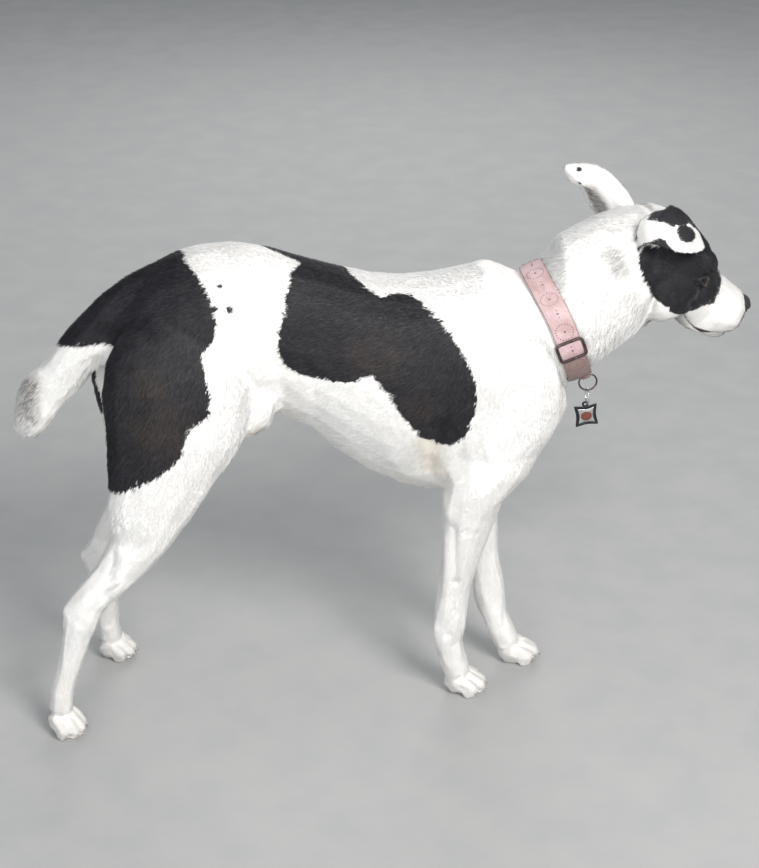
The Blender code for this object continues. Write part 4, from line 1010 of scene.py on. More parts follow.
def make_coat(kind, side, sign, skin, share, seed):
    draw = np.random.default_rng(seed)
    wanted = [REGIONS.index(region) for region in COAT_PIECES[kind]]
    first = skin.faces[:, 0]
    here = np.isin(skin.region[first], wanted)
    name = kind
    if sign:
        name = kind + "_" + side
        middle = in_head(skin.points[first])[:, 1] if kind == "coat_head" else skin.points[first, 1]
        here &= sign * middle > 0
    chosen = np.nonzero(here)[0]
    corners = unwrap(skin.points, skin.faces[chosen])
    face, weights = scatter(skin, chosen, draw, share)
    three = skin.faces[chosen][face]
    at = lambda values: np.einsum("ij,ij...->i...", weights, values[three])
    root, normal = at(skin.points), unit(at(skin.shade))
    keep = at(skin.hairy) > draw.uniform(0.3, 0.7, len(root))
    root, normal, three, weights = root[keep], normal[keep], three[keep], weights[keep]
    spot = np.einsum("ij,ijk->ik", weights, corners[face[keep]])
    lie = unit(at(skin.lie))
    turn = draw.normal(0, 0.16, len(root)) + 0.22 * wander(root, 5.0, 31)
    side = np.cross(normal, lie)
    lie, side = (lie * np.cos(turn)[:, None] + side * np.sin(turn)[:, None],
                 side * np.cos(turn)[:, None] - lie * np.sin(turn)[:, None])
    growth = hair_growth(root)
    shorter = 0.60 + 0.40 * ease(np.abs(at(skin.black)), 0.15, 1.0)
    length = 0.1 * at(skin.length) * growth * shorter * draw.uniform(0.7, 1.2, len(root))
    width = 0.1 * at(skin.width) * (0.8 + 0.2 * growth) * draw.uniform(0.8, 1.2, len(root))
    lift = 0.1 * at(skin.depth) * (0.4 + 0.6 * growth) * draw.uniform(0.45, 1.1, len(root))
    black = ease(at(skin.black) + at(skin.soft) * draw.normal(0, 1, len(root)), -0.03, 0.03)
    stain, brown, grey = at(skin.stain), at(skin.brown), at(skin.grey)
    grey = np.clip(grey * draw.uniform(0.4, 1.5, len(root)), 0, 1)
    tone = draw.uniform(0, 1, len(root))
    parts = []
    total = 0
    for bend in (False, True):
        use = (length > 0.1 * LONG_TUFT) == bend
        p, n, f, offsets = tuft_shapes(root[use], normal[use], lie[use], side[use], length[use],
                                       width[use], lift[use], 0.06, bend)
        per = p.shape[1]
        values = np.stack([black, stain, brown, grey, tone], 1)[use]
        tips = np.zeros((len(p), per))
        tips[:, -1] = 1
        tips[:, 3:-1] = 0.5
        parts.append((p.reshape(-1, 3), n.reshape(-1, 3), f.reshape(-1, 3) + total,
                      (spot[use][:, None] + offsets).reshape(-1, 2),
                      np.repeat(values, per, axis=0), tips.ravel()))
        total += p.shape[0] * per
    points, normals, faces, spots, values, tips = (np.concatenate(column) for column in zip(*parts))
    points[:, 2] = np.maximum(points[:, 2], 0.01)
    mesh = array_mesh(name, in_frame(points), faces)
    layer = mesh.uv_layers.new(name="OFBake")
    layer.data.foreach_set("uv", np.clip(spots, 0.002, 0.998)[faces.ravel()].astype(np.float32).ravel())
    for key, column in zip(("marking", "stain", "brown", "grey", "tone"), values.T):
        give_attribute(mesh, key, column)
    give_attribute(mesh, "tip", tips)
    give_attribute(mesh, "custom_normal", normals)
    thing = linked(name, mesh)
    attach(thing, "root")
    print(name, len(root), "tufts,", len(faces), "triangles")
    return thing


# ---- pieces ---------------------------------------------------------------
def closed_faces(rings, count, ends=True):
    """Faces of rings of count points each, joined along, with both ends filled."""
    faces = []
    for r in range(rings - 1):
        for i in range(count):
            j = (i + 1) % count
            faces.append((r * count + i, r * count + j, (r + 1) * count + j, (r + 1) * count + i))
    if ends:
        faces.append(tuple(range(count))[::-1])
        faces.append(tuple(range((rings - 1) * count, rings * count)))
    return faces


def looped_faces(rings, count):
    """The same with the last ring joined to the first."""
    faces = closed_faces(rings, count, ends=False)
    last = (rings - 1) * count
    for i in range(count):
        j = (i + 1) % count
        faces.append((last + i, last + j, j, i))
    return faces


def dress(thing, finish, slot, *nodes):
    thing.data.materials.append(finish)
    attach(thing, "root")
    if nodes:
        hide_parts(*nodes)
    return thing


def placed(name, points, faces, axes, centre):
    """An object whose own frame is at centre in the body's frame, so that patterns follow it."""
    thing = new_object(name, np.asarray(points) * CM, faces)
    matrix = Matrix(axes).to_4x4()
    matrix.translation = in_frame(centre)
    thing.matrix_world = matrix
    return thing


def make_eye(side, sign, finish):
    """A ball with a bulging cornea, turned the way the dog looks; its own z is the way out."""
    rings, around = 28, 40
    points = [(0, 0, EYE_RADIUS * 1.035)]
    faces = [(0, 1 + i, 1 + (i + 1) % around) for i in range(around)]
    for r in range(1, rings):
        a = math.pi * r / rings
        bulge = 1 + 0.035 * float(ease(np.array(-a), -0.62, -0.45))
        for b in ring_angles(around):
            points.append((EYE_RADIUS * bulge * math.sin(a) * math.cos(b),
                           EYE_RADIUS * bulge * math.sin(a) * math.sin(b), EYE_RADIUS * bulge * math.cos(a)))
    for r in range(rings - 2):
        for i in range(around):
            j = (i + 1) % around
            base = 1 + r * around
            faces.append((base + i, base + around + i, base + around + j, base + j))
    faces.append(tuple(range(1 + (rings - 2) * around, 1 + (rings - 1) * around))[::-1])
    look = Vector(HEAD_AXES @ unit(np.array((0.66, sign * 0.74, 0.06))))
    axes = look.to_track_quat("Z", "Y").to_matrix()
    centre = from_head(mirrored(EYE_PLACE, sign))
    eye = placed("eyeball_" + side, points, faces, axes, centre)
    return dress(eye, finish, "eye_gloss", "eye_" + side)


def make_lid_rim(side, sign, finish):
    """The bare black edge of the lids, lying on the eyeball."""
    steps, around, wire = 72, 10, 0.078
    centre, inner, up, out = eye_frame(sign)
    points = []
    for i in range(steps):
        t = 2 * math.pi * i / steps
        above, below = opening(np.array(0.999 * OPEN_HALF * math.cos(t)))
        u = (OPEN_HALF + 0.02) * math.cos(t)
        v = float(above + 0.02 if math.sin(t) > 0 else -below - 0.02)
        spot = unit(inner * u + up * v + out * math.sqrt(max(EYE_RADIUS ** 2 - u * u - v * v, 0.01)))
        outward = unit(inner * u * 0.6 + up * (v + 1e-4))
        thick = wire * (1.0 + 0.35 * (math.sin(t) > 0))
        for b in ring_angles(around):
            points.append(centre + spot * (EYE_RADIUS + 0.045 + thick * math.cos(b))
                          + outward * thick * 1.25 * math.sin(b))
    rim = new_object("lid_rim_" + side, in_frame(from_head(points)), looped_faces(steps, around))
    return dress(rim, finish, "black_coat")


def make_nose(finish):
    """The nose leather: a pad with comma-shaped nostrils and a groove down its middle."""
    rings, around = 90, 120
    a = np.pi * (np.arange(rings) + 0.5) / rings
    b = 2 * np.pi * np.arange(around) / around
    a, b = np.meshgrid(a, b, indexing="ij")
    way = np.stack([np.cos(a), np.sin(a) * np.cos(b), np.sin(a) * np.sin(b)], -1).reshape(-1, 3)
    x, y, z = way.T
    flat_front = np.sign(x) * np.abs(x) ** 0.75
    points = np.stack([flat_front, y * (1 - 0.10 * z), z - 0.10 * x * x], 1)
    for sign in (-1, 1):
        hole = np.linalg.norm((way - unit(np.array((0.82, sign * 0.47, -0.06)))) * (1, 1.0, 0.9), axis=1)
        points -= (0.42 * np.exp(-(hole / 0.20) ** 2.6))[:, None] * way * (1, 0.45, 0.3)
        slit, _ = to_segment(way, unit(np.array((0.74, sign * 0.62, -0.12))),
                             unit(np.array((0.42, sign * 0.88, -0.26))))
        points -= (0.17 * np.exp(-(slit / 0.10) ** 2))[:, None] * way
        wing = np.linalg.norm(way - unit(np.array((0.62, sign * 0.74, 0.22))), axis=1)
        points += (0.07 * np.exp(-(wing / 0.28) ** 2))[:, None] * way
    groove = np.exp(-(y / 0.055) ** 2) * ease(x, 0.2, 0.6) * ease(-z, -0.35, 0.1)
    points -= (0.13 * groove)[:, None] * way
    points = points * NOSE_RADII
    faces = closed_faces(rings, around)
    nose = placed("nose_leather", points, faces, HEAD_AXES, from_head(NOSE_PLACE))
    return dress(nose, finish, "nose_leather", "nose")


def smoothed(name, node, levels):
    """A rounder copy of a small CAD node."""
    copy = bmesh.new()
    copy.from_mesh(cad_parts[node].data)
    bmesh.ops.remove_doubles(copy, verts=copy.verts, dist=1e-6)
    mesh = bpy.data.meshes.new(name)
    copy.to_mesh(mesh)
    copy.free()
    mesh.shade_smooth()
    thing = linked(name, mesh)
    rounder = thing.modifiers.new("rounder", "SUBSURF")
    rounder.levels = rounder.render_levels = levels
    return thing


CLAW_SHARE = 0.72              # of the solid claw's length


def make_claws(finish):
    """Worn, slightly curved claws that stand half hidden in the hair of the toes."""
    for paw in PAWS:
        for number, (base, tip) in enumerate(claw_lines(paw), 1):
            node = "claw_%s_%d" % (paw, number)
            nail = smoothed(node.replace("claw", "nail"), node, 2)
            start = in_frame(base)
            for vertex in nail.data.vertices:
                vertex.co = Vector(start + CLAW_SHARE * (np.array(vertex.co) - start))
            dress(nail, finish, "claw_horn", node)


# ---- collar ---------------------------------------------------------------
SLIDE_ANGLE = -14.5
SLIDE_OUTER = (3.5, 2.8)       # across the strap, along it
SLIDE_BAR = 0.34
ROSETTE_STEP = 4.9             # between rosettes round the strap
ROSETTE_RADIUS = 1.02
ROSETTE_DOTS = 19


def strap_speed():
    """Distance round the strap for one radian, at the slide."""
    a = math.radians(SLIDE_ANGLE)
    return math.hypot(COLLAR_WIDE * math.sin(a), COLLAR_DEEP * math.cos(a))


def slide_lift(distance):
    """The strap rises over the slide's hidden middle bar and dips under its ends."""
    over = 0.13 * np.exp(-(distance / 0.62) ** 2)
    under = 0.10 * np.exp(-((np.abs(distance) - SLIDE_OUTER[1] / 2 + SLIDE_BAR / 2) / 0.26) ** 2)
    return over - under


def round_distance(angle):
    """Distance round the strap from the slide's middle."""
    turn = (np.asarray(angle) - SLIDE_ANGLE + 180) % 360 - 180
    return np.radians(turn) * strap_speed()


def make_strap(finish):
    """The band with rounded, burnished edges and a creased line inside each edge."""
    around = 320
    half = STRAP_WIDTH / 2
    profile = [(-half, 0.04), (-half, 0.20)]
    profile += [(-half + 0.05, 0.26), (-half + 0.16, 0.295), (-half + 0.22, 0.272), (-half + 0.28, 0.30)]
    profile += [(t * (half - 0.28), 0.30 + 0.05 * (1 - t * t)) for t in np.linspace(-0.84, 0.84, 9)]
    profile += [(-x, out) for x, out in profile[:6]][::-1]
    profile += [(half - 0.1, 0.0), (-half + 0.1, 0.0)]
    angles = 360 * np.arange(around) / around
    lift = slide_lift(round_distance(angles))
    points = []
    for angle, rise in zip(angles, lift):
        for along, out in profile:
            points.append(strap_spots(np.array(angle), along, out * STRAP_THICK / 0.30 + rise * (out > 0.1)))
    strap = new_object("collar_band", in_frame(points), looped_faces(around, len(profile)))
    lengths = np.repeat(round_distance(angles), len(profile))
    widths = np.tile([along for along, _ in profile], around)
    give_attribute(strap.data, "round", lengths)
    give_attribute(strap.data, "across", widths)
    return dress(strap, finish, "collar_rose", "collar_strap")


def punched_dot(distance, along, radius):
    """Points and faces of a small dimple: a low lip round a dark bottom."""
    sides = 14
    points = []
    for share, out in ((1.35, 0.325), (1.12, 0.362), (0.86, 0.352), (0.66, 0.33), (0.05, 0.325)):
        crown = 0.03 * (1 - (along / (STRAP_WIDTH / 2)) ** 2)
        for b in ring_angles(sides):
            ahead = distance + share * radius * math.cos(b)
            angle = SLIDE_ANGLE + np.degrees(ahead / strap_speed())
            points.append(strap_spots(np.array(angle), along + share * radius * math.sin(b),
                                      out + crown + slide_lift(np.array(ahead))))
    return points, closed_faces(5, sides)


def make_perforations(finish):
    """A plain row of punched rosettes round the strap, with small pairs of holes between them."""
    girth = 360 / np.degrees(1 / strap_speed())
    count = int(girth / ROSETTE_STEP)
    step = girth / count
    points, faces = [], []
    dots = []
    for k in range(count):
        middle = (k + 0.5) * step - girth / 2
        dots.append((middle, 0.0, 0.105))
        for b in ring_angles(ROSETTE_DOTS):
            dots.append((middle + ROSETTE_RADIUS * math.cos(b), ROSETTE_RADIUS * math.sin(b), 0.050))
        for ahead, radius in ((-0.55, 0.055), (0.0, 0.10), (0.55, 0.055)):
            dots.append((middle + step / 2 + ahead, 0.1, radius))
    for distance, along, radius in dots:
        if abs(abs(distance) - SLIDE_OUTER[1] / 2 + SLIDE_BAR / 2) < 0.30:
            continue
        p, f = punched_dot(distance, along, radius)
        faces += [tuple(i + len(points) for i in face) for face in f]
        points += p
    holes = new_object("collar_perforations", in_frame(points), faces)
    return dress(holes, finish, "collar_rose")


def make_slide(finish):
    """A rounded rectangular loop of flat wire over the strap, with its middle bar underneath."""
    corner = 0.42
    half = (SLIDE_OUTER[0] / 2 - SLIDE_BAR / 2, SLIDE_OUTER[1] / 2 - SLIDE_BAR / 2)
    path = []
    for sx, sy, start in ((1, 1, 0), (-1, 1, 90), (-1, -1, 180), (1, -1, 270)):
        for step in range(9):
            b = math.radians(start + 90 * step / 8)
            path.append((sx * (half[0] - corner) + corner * math.cos(b),
                         sy * (half[1] - corner) + corner * math.sin(b)))
    path = np.array(path)
    dense = []
    for a, b in zip(path, np.roll(path, -1, axis=0)):
        pieces = max(1, int(np.linalg.norm(b - a) / 0.18))
        dense += [a + (b - a) * i / pieces for i in range(pieces)]
    dense = np.array(dense)
    away = unit(np.roll(dense, 1, axis=0) - np.roll(dense, -1, axis=0))[:, ::-1] * (1, -1)
    sides = 12
    points = []
    for spot, out in zip(dense, away):
        for b in ring_angles(sides):
            wide = SLIDE_BAR / 2 * np.sign(math.cos(b)) * abs(math.cos(b)) ** 0.7
            high = 0.14 * np.sign(math.sin(b)) * abs(math.sin(b)) ** 0.7
            across, distance = spot + out * wide
            angle = SLIDE_ANGLE + np.degrees(distance / strap_speed())
            points.append(strap_spots(np.array(angle), across, 0.40 + high))
    slide = new_object("slide_frame", in_frame(points), looped_faces(len(dense), sides))
    return dress(slide, finish, "dark_metal", "collar_slide")


# ---- tag ------------------------------------------------------------------
TAG_SIZE = 3.05
TAG_WAIST = 0.10


def tag_outline(size, steps=10, corner=0.13):
    """A square whose sides bend in, with small round corners."""
    points = []
    half = size / 2
    for quarter in range(4):
        turn = math.radians(90 * quarter)
        for i in range(steps):
            t = -1 + 2 * (i + 0.5) / steps
            x = half - TAG_WAIST * TAG_SIZE * (1 - t * t) - corner * half * abs(t) ** 8
            z = half * t * 0.985
            points.append((x * math.cos(turn) - z * math.sin(turn), x * math.sin(turn) + z * math.cos(turn)))
    return points


def disc_plate(outline, layers):
    """A plate from its outline: layers give the outline's share and the height along y."""
    points, faces = [], []
    count = len(outline)
    for share, y in layers:
        points += [(x * share, y, z * share) for x, z in outline]
    return points, closed_faces(len(layers), count)


def make_tag(rim_finish, face_finish, enamel_finish):
    """A dark plate with a bright inner plate and a plain enamel field; nothing is written on it."""
    low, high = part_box("tag")
    middle = in_body((np.array(low) + np.array(high)) / 2)
    middle[2] = in_body(low)[2] + TAG_SIZE / 2 - 0.3
    outline = tag_outline(TAG_SIZE)
    thick = 0.08
    layers = [(0.05, thick), (0.90, thick), (0.93, thick + 0.02), (0.985, thick + 0.01), (1.0, thick - 0.03),
              (1.0, -thick + 0.03), (0.985, -thick), (0.05, -thick)]
    layers = [(share, -y) for share, y in layers]
    points, faces = disc_plate(outline, layers)
    lug = []
    steps = 14
    for y in (-0.06, 0.06):
        for radius in (0.40, 0.17):
            lug += [(radius * math.sin(2 * math.pi * i / steps), y,
                     TAG_SIZE / 2 - 0.02 + radius * math.cos(2 * math.pi * i / steps)) for i in range(steps)]
    base = len(points)
    for a, b in ((0, 1), (1, 3), (3, 2), (2, 0)):
        for i in range(steps):
            j = (i + 1) % steps
            quad = (a * steps + i, a * steps + j, b * steps + j, b * steps + i)
            faces.append(tuple(base + k for k in quad))
    turn = np.array(Matrix.Rotation(math.radians(-7), 3, "Y"))
    plate = placed("tag_plate", np.array(points + lug), faces, turn, middle)
    dress(plate, rim_finish, "tag_face", "tag")
    inner, inner_faces = disc_plate(tag_outline(TAG_SIZE * 0.74), [
        (0.05, -thick - 0.035), (0.94, -thick - 0.035), (1.0, -thick - 0.015), (1.0, -thick + 0.02),
        (0.05, -thick + 0.02)])
    dress(placed("tag_inner_plate", inner, inner_faces, turn, middle), face_finish, "tag_face")
    round_field = [(0.68 * math.cos(2 * math.pi * i / 36), 0.60 * math.sin(2 * math.pi * i / 36) - 0.06)
                   for i in range(36)]
    field, field_faces = disc_plate(round_field, [
        (0.05, -thick - 0.062), (0.80, -thick - 0.058), (1.0, -thick - 0.04), (1.0, -thick - 0.02),
        (0.05, -thick - 0.02)])
    dress(placed("tag_enamel", field, field_faces, turn, middle), enamel_finish, "tag_face")


# ---- materials ------------------------------------------------------------
class Finish:
    """One material and its nodes.  Fixed values go straight on the shader's sockets."""

    def __init__(self, name, **fixed):
        self.material = bpy.data.materials.new(name)
        self.material.use_nodes = True
        self.tree = self.material.node_tree
        self.shader = self.tree.nodes["Principled BSDF"]
        for key, value in fixed.items():
            self.shader.inputs[key.replace("_", " ")].default_value = value

    def add(self, kind, inputs=(), out=0, **settings):
        """A node of this kind; inputs are values or other nodes' outputs, by place or name."""
        node = self.tree.nodes.new("ShaderNode" + kind)
        for key, value in settings.items():
            setattr(node, key, value)
        for key, value in dict(inputs).items():
            socket = node.inputs[key]
            if isinstance(value, bpy.types.NodeSocket):
                self.tree.links.new(value, socket)
            else:
                socket.default_value = value
        return node.outputs[out]

    def use(self, key, value):
        self.tree.links.new(value, self.shader.inputs[key])

    def attribute(self, name, vector=False):
        return self.add("Attribute", out="Vector" if vector else "Fac", attribute_name=name)

    def place(self):
        return self.add("TexCoord", out="Object")

    def math(self, operation, a, b=0.5, clamp=False):
        return self.add("Math", {0: a, 1: b}, operation=operation, use_clamp=clamp)

    def vector(self, operation, a, b=(0, 0, 0), out=0):
        return self.add("VectorMath", {0: a, 1: b}, out=out, operation=operation)

    def scaled(self, vector, factor):
        return self.add("VectorMath", {0: vector, "Scale": factor}, operation="SCALE")

    def noise(self, vector, scale, detail=3.0, rough=0.55):
        return self.add("TexNoise", {"Vector": vector, "Scale": scale, "Detail": detail, "Roughness": rough})

    def range(self, value, low, high, start=0.0, end=1.0):
        return self.add("MapRange", {0: value, 1: low, 2: high, 3: start, 4: end},
                        interpolation_type="SMOOTHSTEP")

    def mix(self, factor, a, b, blend="MIX"):
        return self.add("Mix", {0: factor, 6: a, 7: b}, out=2, data_type="RGBA", blend_type=blend)

    def bump(self, height, strength, distance, normal=None):
        inputs = {"Height": height, "Strength": strength, "Distance": distance}
        if normal is not None:
            inputs["Normal"] = normal
        return self.add("Bump", inputs)


def rgb(red, green, blue):
    return (red, green, blue, 1.0)


WHITE_HAIR = rgb(0.90, 0.89, 0.865)
# Dirty hair colour, also laid on as painted shade on undersides and in creases.
STAINED_AND_SHADED_HAIR = rgb(0.72, 0.675, 0.60)
# Grey for the rear-facing side of the tail's tip, and for painted shade on the far ear and painted shadow on
# the neck.
GREY_HAIR_AND_SHADE = rgb(0.12, 0.112, 0.105)
BLACK_HAIR = rgb(0.0115, 0.0115, 0.0150)
BROWN_HAIR = rgb(0.029, 0.0205, 0.0185)
PINK_SKIN = rgb(0.76, 0.67, 0.62)
BLACK_SKIN = rgb(0.016, 0.013, 0.014)
LIP_SKIN = rgb(0.10, 0.045, 0.040)


def hair_colour(paint, marking):
    white = paint.mix(paint.attribute("stain"), WHITE_HAIR, STAINED_AND_SHADED_HAIR)
    white = paint.mix(paint.attribute("grey"), white, GREY_HAIR_AND_SHADE)
    dark = paint.mix(paint.attribute("brown"), BLACK_HAIR, BROWN_HAIR)
    return paint.mix(marking, white, dark)


def tuft_finish():
    paint = Finish("coat_hair", Specular_IOR_Level=0.32, Sheen_Weight=0.05, Sheen_Roughness=0.4)
    marking = paint.attribute("marking")
    colour = hair_colour(paint, marking)
    tone = paint.range(paint.attribute("tone"), 0.0, 1.0, 0.94, 1.05)
    dark_tone = paint.range(paint.attribute("tone"), 0.0, 1.0, 0.55, 1.9)
    tone = paint.add("Mix", {0: marking, 2: tone, 3: dark_tone})
    # Painted shade: each tuft darkens towards its root, where the coat around it shades it.
    root = paint.range(paint.attribute("tip"), 0.0, 0.7, 0.92, 1.0)
    colour = paint.mix(1.0, colour, paint.add("CombineColor", {i: paint.math("MULTIPLY", tone, root)
                                                                for i in range(3)}), "MULTIPLY")
    paint.use("Base Color", colour)
    grain = paint.noise(paint.place(), 900.0, 2.0)
    paint.use("Roughness", paint.range(grain, 0.3, 0.7, 0.50, 0.74))
    return paint.material


def skin_finish():
    """Short flat hair drawn along its lie, over pink or black skin."""
    paint = Finish("skin_hair", Roughness=0.6, Sheen_Weight=0.10, Sheen_Roughness=0.4)
    place, lie = paint.place(), paint.attribute("lie", vector=True)
    along = paint.vector("DOT_PRODUCT", place, lie, out="Value")
    drawn = paint.vector("SUBTRACT", place, paint.scaled(lie, paint.math("MULTIPLY", along, 0.86)))
    strands = paint.noise(drawn, 1300.0, 4.0, 0.6)
    clumps = paint.noise(drawn, 330.0, 3.0)
    ragged = paint.math("ADD", paint.attribute("marking"), strands)
    marking = paint.range(ragged, 0.80, 1.15)
    colour = hair_colour(paint, marking)
    under = paint.mix(marking, PINK_SKIN, BLACK_SKIN)
    colour = paint.mix(paint.range(strands, 0.35, 0.75, 0.32, 0.02), colour, under)
    patchy = paint.math("MULTIPLY", paint.range(paint.noise(place, 260.0, 4.0), 0.42, 0.58),
                        paint.attribute("flush"))
    colour = paint.mix(paint.attribute("bare"), colour, paint.mix(patchy, BLACK_SKIN, LIP_SKIN))
    paint.use("Base Color", colour)
    paint.use("Roughness", paint.range(clumps, 0.3, 0.7, 0.50, 0.70))
    height = paint.math("ADD", strands, clumps)
    paint.use("Normal", paint.bump(height, 0.5, 0.0006))
    return paint.material


def eye_finish():
    """Dark brown iris round a black pupil, under a wet surface."""
    paint = Finish("eye", Roughness=0.12, Specular_IOR_Level=0.15, Coat_Weight=0.8, Coat_Roughness=0.02,
                   Coat_IOR=1.36)
    place = paint.place()
    parts = paint.add("SeparateXYZ", {0: place}, out=2)
    away = paint.vector("LENGTH", paint.vector("MULTIPLY", place, (100, 100, 0)), out="Value")
    streaks = paint.noise(paint.vector("NORMALIZE", paint.vector("MULTIPLY", place, (1, 1, 0))), 9.0, 3.0)
    iris = paint.mix(streaks, rgb(0.010, 0.0045, 0.003), rgb(0.032, 0.014, 0.007))
    iris = paint.mix(paint.range(away, 0.58, 0.74), iris, rgb(0.006, 0.004, 0.003))
    ball = paint.mix(paint.range(away, 0.33, 0.36), rgb(0.002, 0.002, 0.002), iris)
    white = paint.mix(paint.range(away, 0.80, 0.94), ball, rgb(0.030, 0.022, 0.020))
    front = paint.range(parts, 0.0, 0.002)
    paint.use("Base Color", paint.mix(front, rgb(0.030, 0.022, 0.020), white))
    return paint.material


def leather_finish(name, colour, light, roughness, pebble, height):
    """Pebbled leather: of the nose, and of the lids' edges."""
    paint = Finish(name, Coat_Weight=0.35, Coat_Roughness=0.25)
    place = paint.place()
    cells = paint.add("TexVoronoi", {"Vector": place, "Scale": pebble}, feature="SMOOTH_F1")
    grain = paint.noise(place, pebble * 1.6, 3.0)
    paint.use("Base Color", paint.mix(paint.range(cells, 0.2, 0.6), colour, light))
    paint.use("Roughness", paint.range(grain, 0.3, 0.7, roughness - 0.08, roughness + 0.10))
    raised = paint.math("SUBTRACT", 1.0, cells)
    paint.use("Normal", paint.bump(raised, 0.7, height))
    return paint.material


def horn_finish():
    """Claws: dark horn with lighter growth lines and tips."""
    paint = Finish("claw_horn", Roughness=0.34)
    place = paint.place()
    lines = paint.add("TexNoise", {"Vector": paint.vector("MULTIPLY", place, (900, 260, 260)), "Scale": 1.0})
    colour = paint.mix(paint.range(lines, 0.35, 0.65), rgb(0.24, 0.19, 0.155), rgb(0.46, 0.39, 0.33))
    paint.use("Base Color", colour)
    paint.use("Roughness", paint.range(lines, 0.3, 0.7, 0.28, 0.46))
    paint.use("Normal", paint.bump(lines, 0.3, 0.0002))
    return paint.material


ROSE = rgb(0.50, 0.335, 0.335)
ROSE_LIGHT = rgb(0.63, 0.465, 0.475)
# Worn leather colour for the grain and the edges, also laid on as painted shade under the neck.
ROSE_WORN_AND_SHADE = rgb(0.205, 0.140, 0.122)
HOLE_DARK = rgb(0.17, 0.10, 0.10)
HOLE_LIGHT = rgb(0.28, 0.18, 0.175)


def strap_finish():
    """Dusty rose leather, lighter where it is rubbed, browner at its edges, and darker under the neck as
    painted shade.
    """
    paint = Finish("rose_leather", Roughness=0.6, Specular_IOR_Level=0.4)
    place = paint.place()
    across, length = paint.attribute("across"), paint.attribute("round")
    cloud = paint.noise(place, 55.0, 4.0)
    grain = paint.noise(place, 800.0, 4.0, 0.7)
    creases = paint.add("TexVoronoi", {"Vector": place, "Scale": 520.0}, feature="DISTANCE_TO_EDGE")
    colour = paint.mix(paint.range(cloud, 0.32, 0.68), ROSE, ROSE_LIGHT)
    colour = paint.mix(paint.range(grain, 0.30, 0.62, 0.35, 0.0), colour, ROSE_WORN_AND_SHADE)
    edge = paint.range(paint.math("ABSOLUTE", across), 1.28, 1.44)
    # Painted shade: darker where the strap runs under the neck.
    under = paint.math("MULTIPLY", paint.range(length, -0.8, -1.8), paint.range(length, -11.5, -9.0))
    worn = paint.math("MAXIMUM", paint.math("MULTIPLY", edge, 0.75), paint.math("MULTIPLY", under, 0.85))
    paint.use("Base Color", paint.mix(worn, colour, ROSE_WORN_AND_SHADE))
    paint.use("Roughness", paint.range(cloud, 0.3, 0.7, 0.50, 0.68))
    height = paint.math("ADD", paint.range(creases, 0.0, 0.09), paint.math("MULTIPLY", grain, 0.5))
    paint.use("Normal", paint.bump(height, 0.35, 0.0003))
    return paint.material


def hole_finish():
    paint = Finish("punched_leather", Roughness=0.7)
    grain = paint.noise(paint.place(), 900.0, 3.0)
    paint.use("Base Color", paint.mix(paint.range(grain, 0.3, 0.7), HOLE_DARK, HOLE_LIGHT))
    paint.use("Roughness", paint.range(grain, 0.3, 0.7, 0.6, 0.8))
    return paint.material


def metal_finish(name, colour, worn, roughness, metallic=1.0):
    """Metal with fine scratches and rubbed places."""
    paint = Finish(name, Metallic=metallic)
    place = paint.place()
    patches = paint.noise(place, 180.0, 4.0)
    scratches = paint.noise(paint.vector("MULTIPLY", place, (1.0, 1.0, 6.0)), 700.0, 2.0)
    paint.use("Base Color", paint.mix(paint.range(patches, 0.45, 0.75), colour, worn))
    paint.use("Roughness", paint.range(scratches, 0.3, 0.7, roughness - 0.08, roughness + 0.12))
    paint.use("Normal", paint.bump(scratches, 0.15, 0.0001))
    return paint.material


# ---- stage, light and camera ----------------------------------------------
CAMERA_PLACE = (-22.26, -211.78, 143.11)
CAMERA_AIM = (0.0, 0.0, 34.6)
LENS = 82.33
FLOOR_DARK = rgb(0.385, 0.39, 0.385)
FLOOR_LIGHT = rgb(0.415, 0.415, 0.405)


def aim(thing, start, target):
    thing.location = Vector(start)
    thing.rotation_euler = (Vector(target) - Vector(start)).to_track_quat("-Z", "Y").to_euler()


def make_camera():
    data = bpy.data.cameras.new("camera")
    data.lens = LENS
    data.sensor_width = 36.0
    data.clip_end = 50.0
    camera = linked("camera", data)
    aim(camera, in_frame(CAMERA_PLACE), in_frame(CAMERA_AIM))
    bpy.context.scene.camera = camera


def lamp(name, place, target, size, power, colour):
    data = bpy.data.lights.new(name, "AREA")
    data.shape = "DISK"
    data.size = size
    data.energy = power
    data.color = colour
    aim(linked(name, data), place, target)


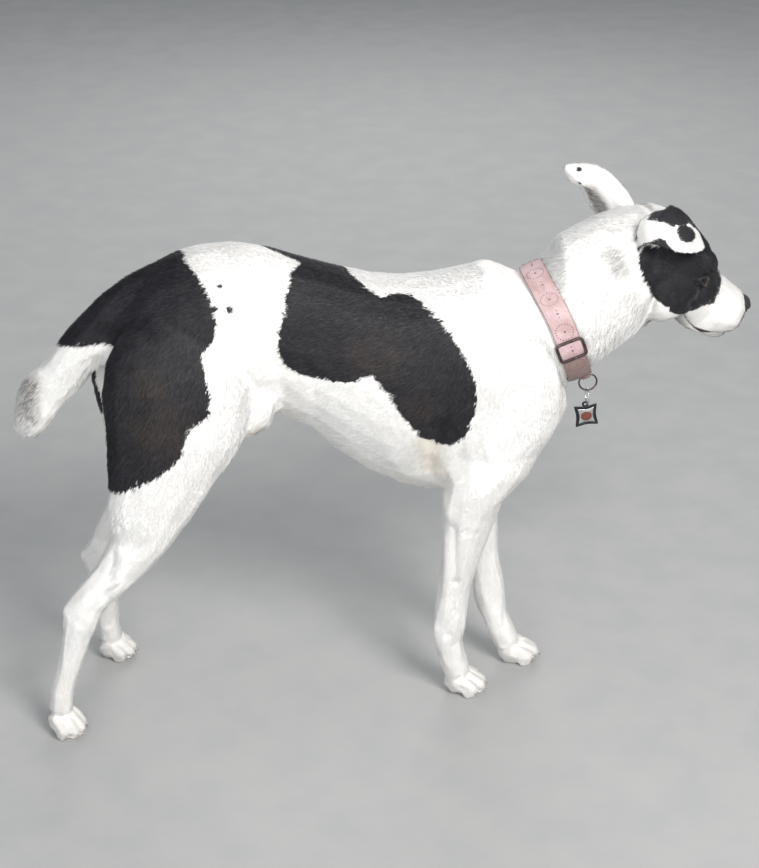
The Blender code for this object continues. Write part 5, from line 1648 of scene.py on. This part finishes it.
def make_stage():
    """A flat pale floor far beyond the object, three soft lamps and a dim sky."""
    size, fine = 6.0, 40
    span = np.linspace(-size, size, fine + 1)
    grid = [(x, y, 0.0) for y in span for x in span]
    row = fine + 1
    faces = [(j * row + i, j * row + i + 1, (j + 1) * row + i + 1, (j + 1) * row + i)
             for j in range(fine) for i in range(fine)]
    floor = new_object("floor", grid, faces)
    paint = Finish("floor_paint", Roughness=0.85)
    speck = paint.noise(paint.place(), 14.0, 5.0)
    paint.use("Base Color", paint.mix(paint.range(speck, 0.3, 0.7), FLOOR_DARK, FLOOR_LIGHT))
    floor.data.materials.append(paint.material)
    middle = (0.02, 0.0, 0.32)
    lamp("key", (0.9, -1.9, 2.3), middle, 1.1, 70.0, (1.0, 0.98, 0.95))
    lamp("fill", (-0.7, -2.6, 0.9), middle, 2.4, 44.0, (0.98, 0.99, 1.0))
    lamp("back", (0.3, 2.4, 1.8), middle, 1.8, 26.0, (1.0, 1.0, 1.0))
    world = bpy.data.worlds.new("studio")
    world.use_nodes = True
    background = world.node_tree.nodes["Background"]
    background.inputs["Color"].default_value = (0.90, 0.94, 1.0, 1.0)
    background.inputs["Strength"].default_value = 0.46
    bpy.context.scene.world = world
    bpy.context.scene.view_settings.view_transform = "Standard"


def make_head_pieces():
    eye, rim = eye_finish(), leather_finish("lid_skin", rgb(0.006, 0.005, 0.005), rgb(0.02, 0.016, 0.015),
                                            0.36, 1500.0, 0.0001)
    for side, sign in SIDES:
        make_eye(side, sign, eye)
        make_lid_rim(side, sign, rim)
    make_nose(leather_finish("nose_leather", rgb(0.010, 0.009, 0.009), rgb(0.030, 0.027, 0.027),
                             0.42, 1050.0, 0.0003))


def make_collar():
    rose = strap_finish()
    dark = metal_finish("dark_metal", rgb(0.095, 0.070, 0.070), rgb(0.21, 0.17, 0.165), 0.36)
    steel = metal_finish("steel", rgb(0.62, 0.62, 0.63), rgb(0.42, 0.42, 0.43), 0.26)
    make_strap(rose)
    make_perforations(hole_finish())
    make_slide(dark)
    dress(smoothed("hanger_loop", "collar_loop", 2), hole_finish(), "collar_rose", "collar_loop")
    dress(smoothed("hanging_ring", "collar_ring", 2), dark, "dark_metal", "collar_ring")
    dress(smoothed("split_ring", "tag_ring", 2), steel, "ring_metal", "tag_ring")
    make_tag(metal_finish("tag_rim", rgb(0.018, 0.022, 0.026), rgb(0.05, 0.055, 0.06), 0.40, 0.6),
             metal_finish("tag_steel", rgb(0.60, 0.59, 0.58), rgb(0.42, 0.41, 0.40), 0.30),
             metal_finish("tag_enamel", rgb(0.14, 0.035, 0.022), rgb(0.20, 0.06, 0.04), 0.30, 0.0))


make_camera()
make_stage()
skin_object, skin = make_skin()
skin_object.data.materials.append(skin_finish())
hair = tuft_finish()
make_head_pieces()
make_claws(horn_finish())
make_collar()
share = 1.0
for number, kind in enumerate(COAT_PIECES):
    for side, sign in SIDES if kind in TWO_SIDED else (("", 0),):
        coat = make_coat(kind, side, sign, skin, share, 100 + 3 * number + sign)
        coat.data.materials.append(hair)
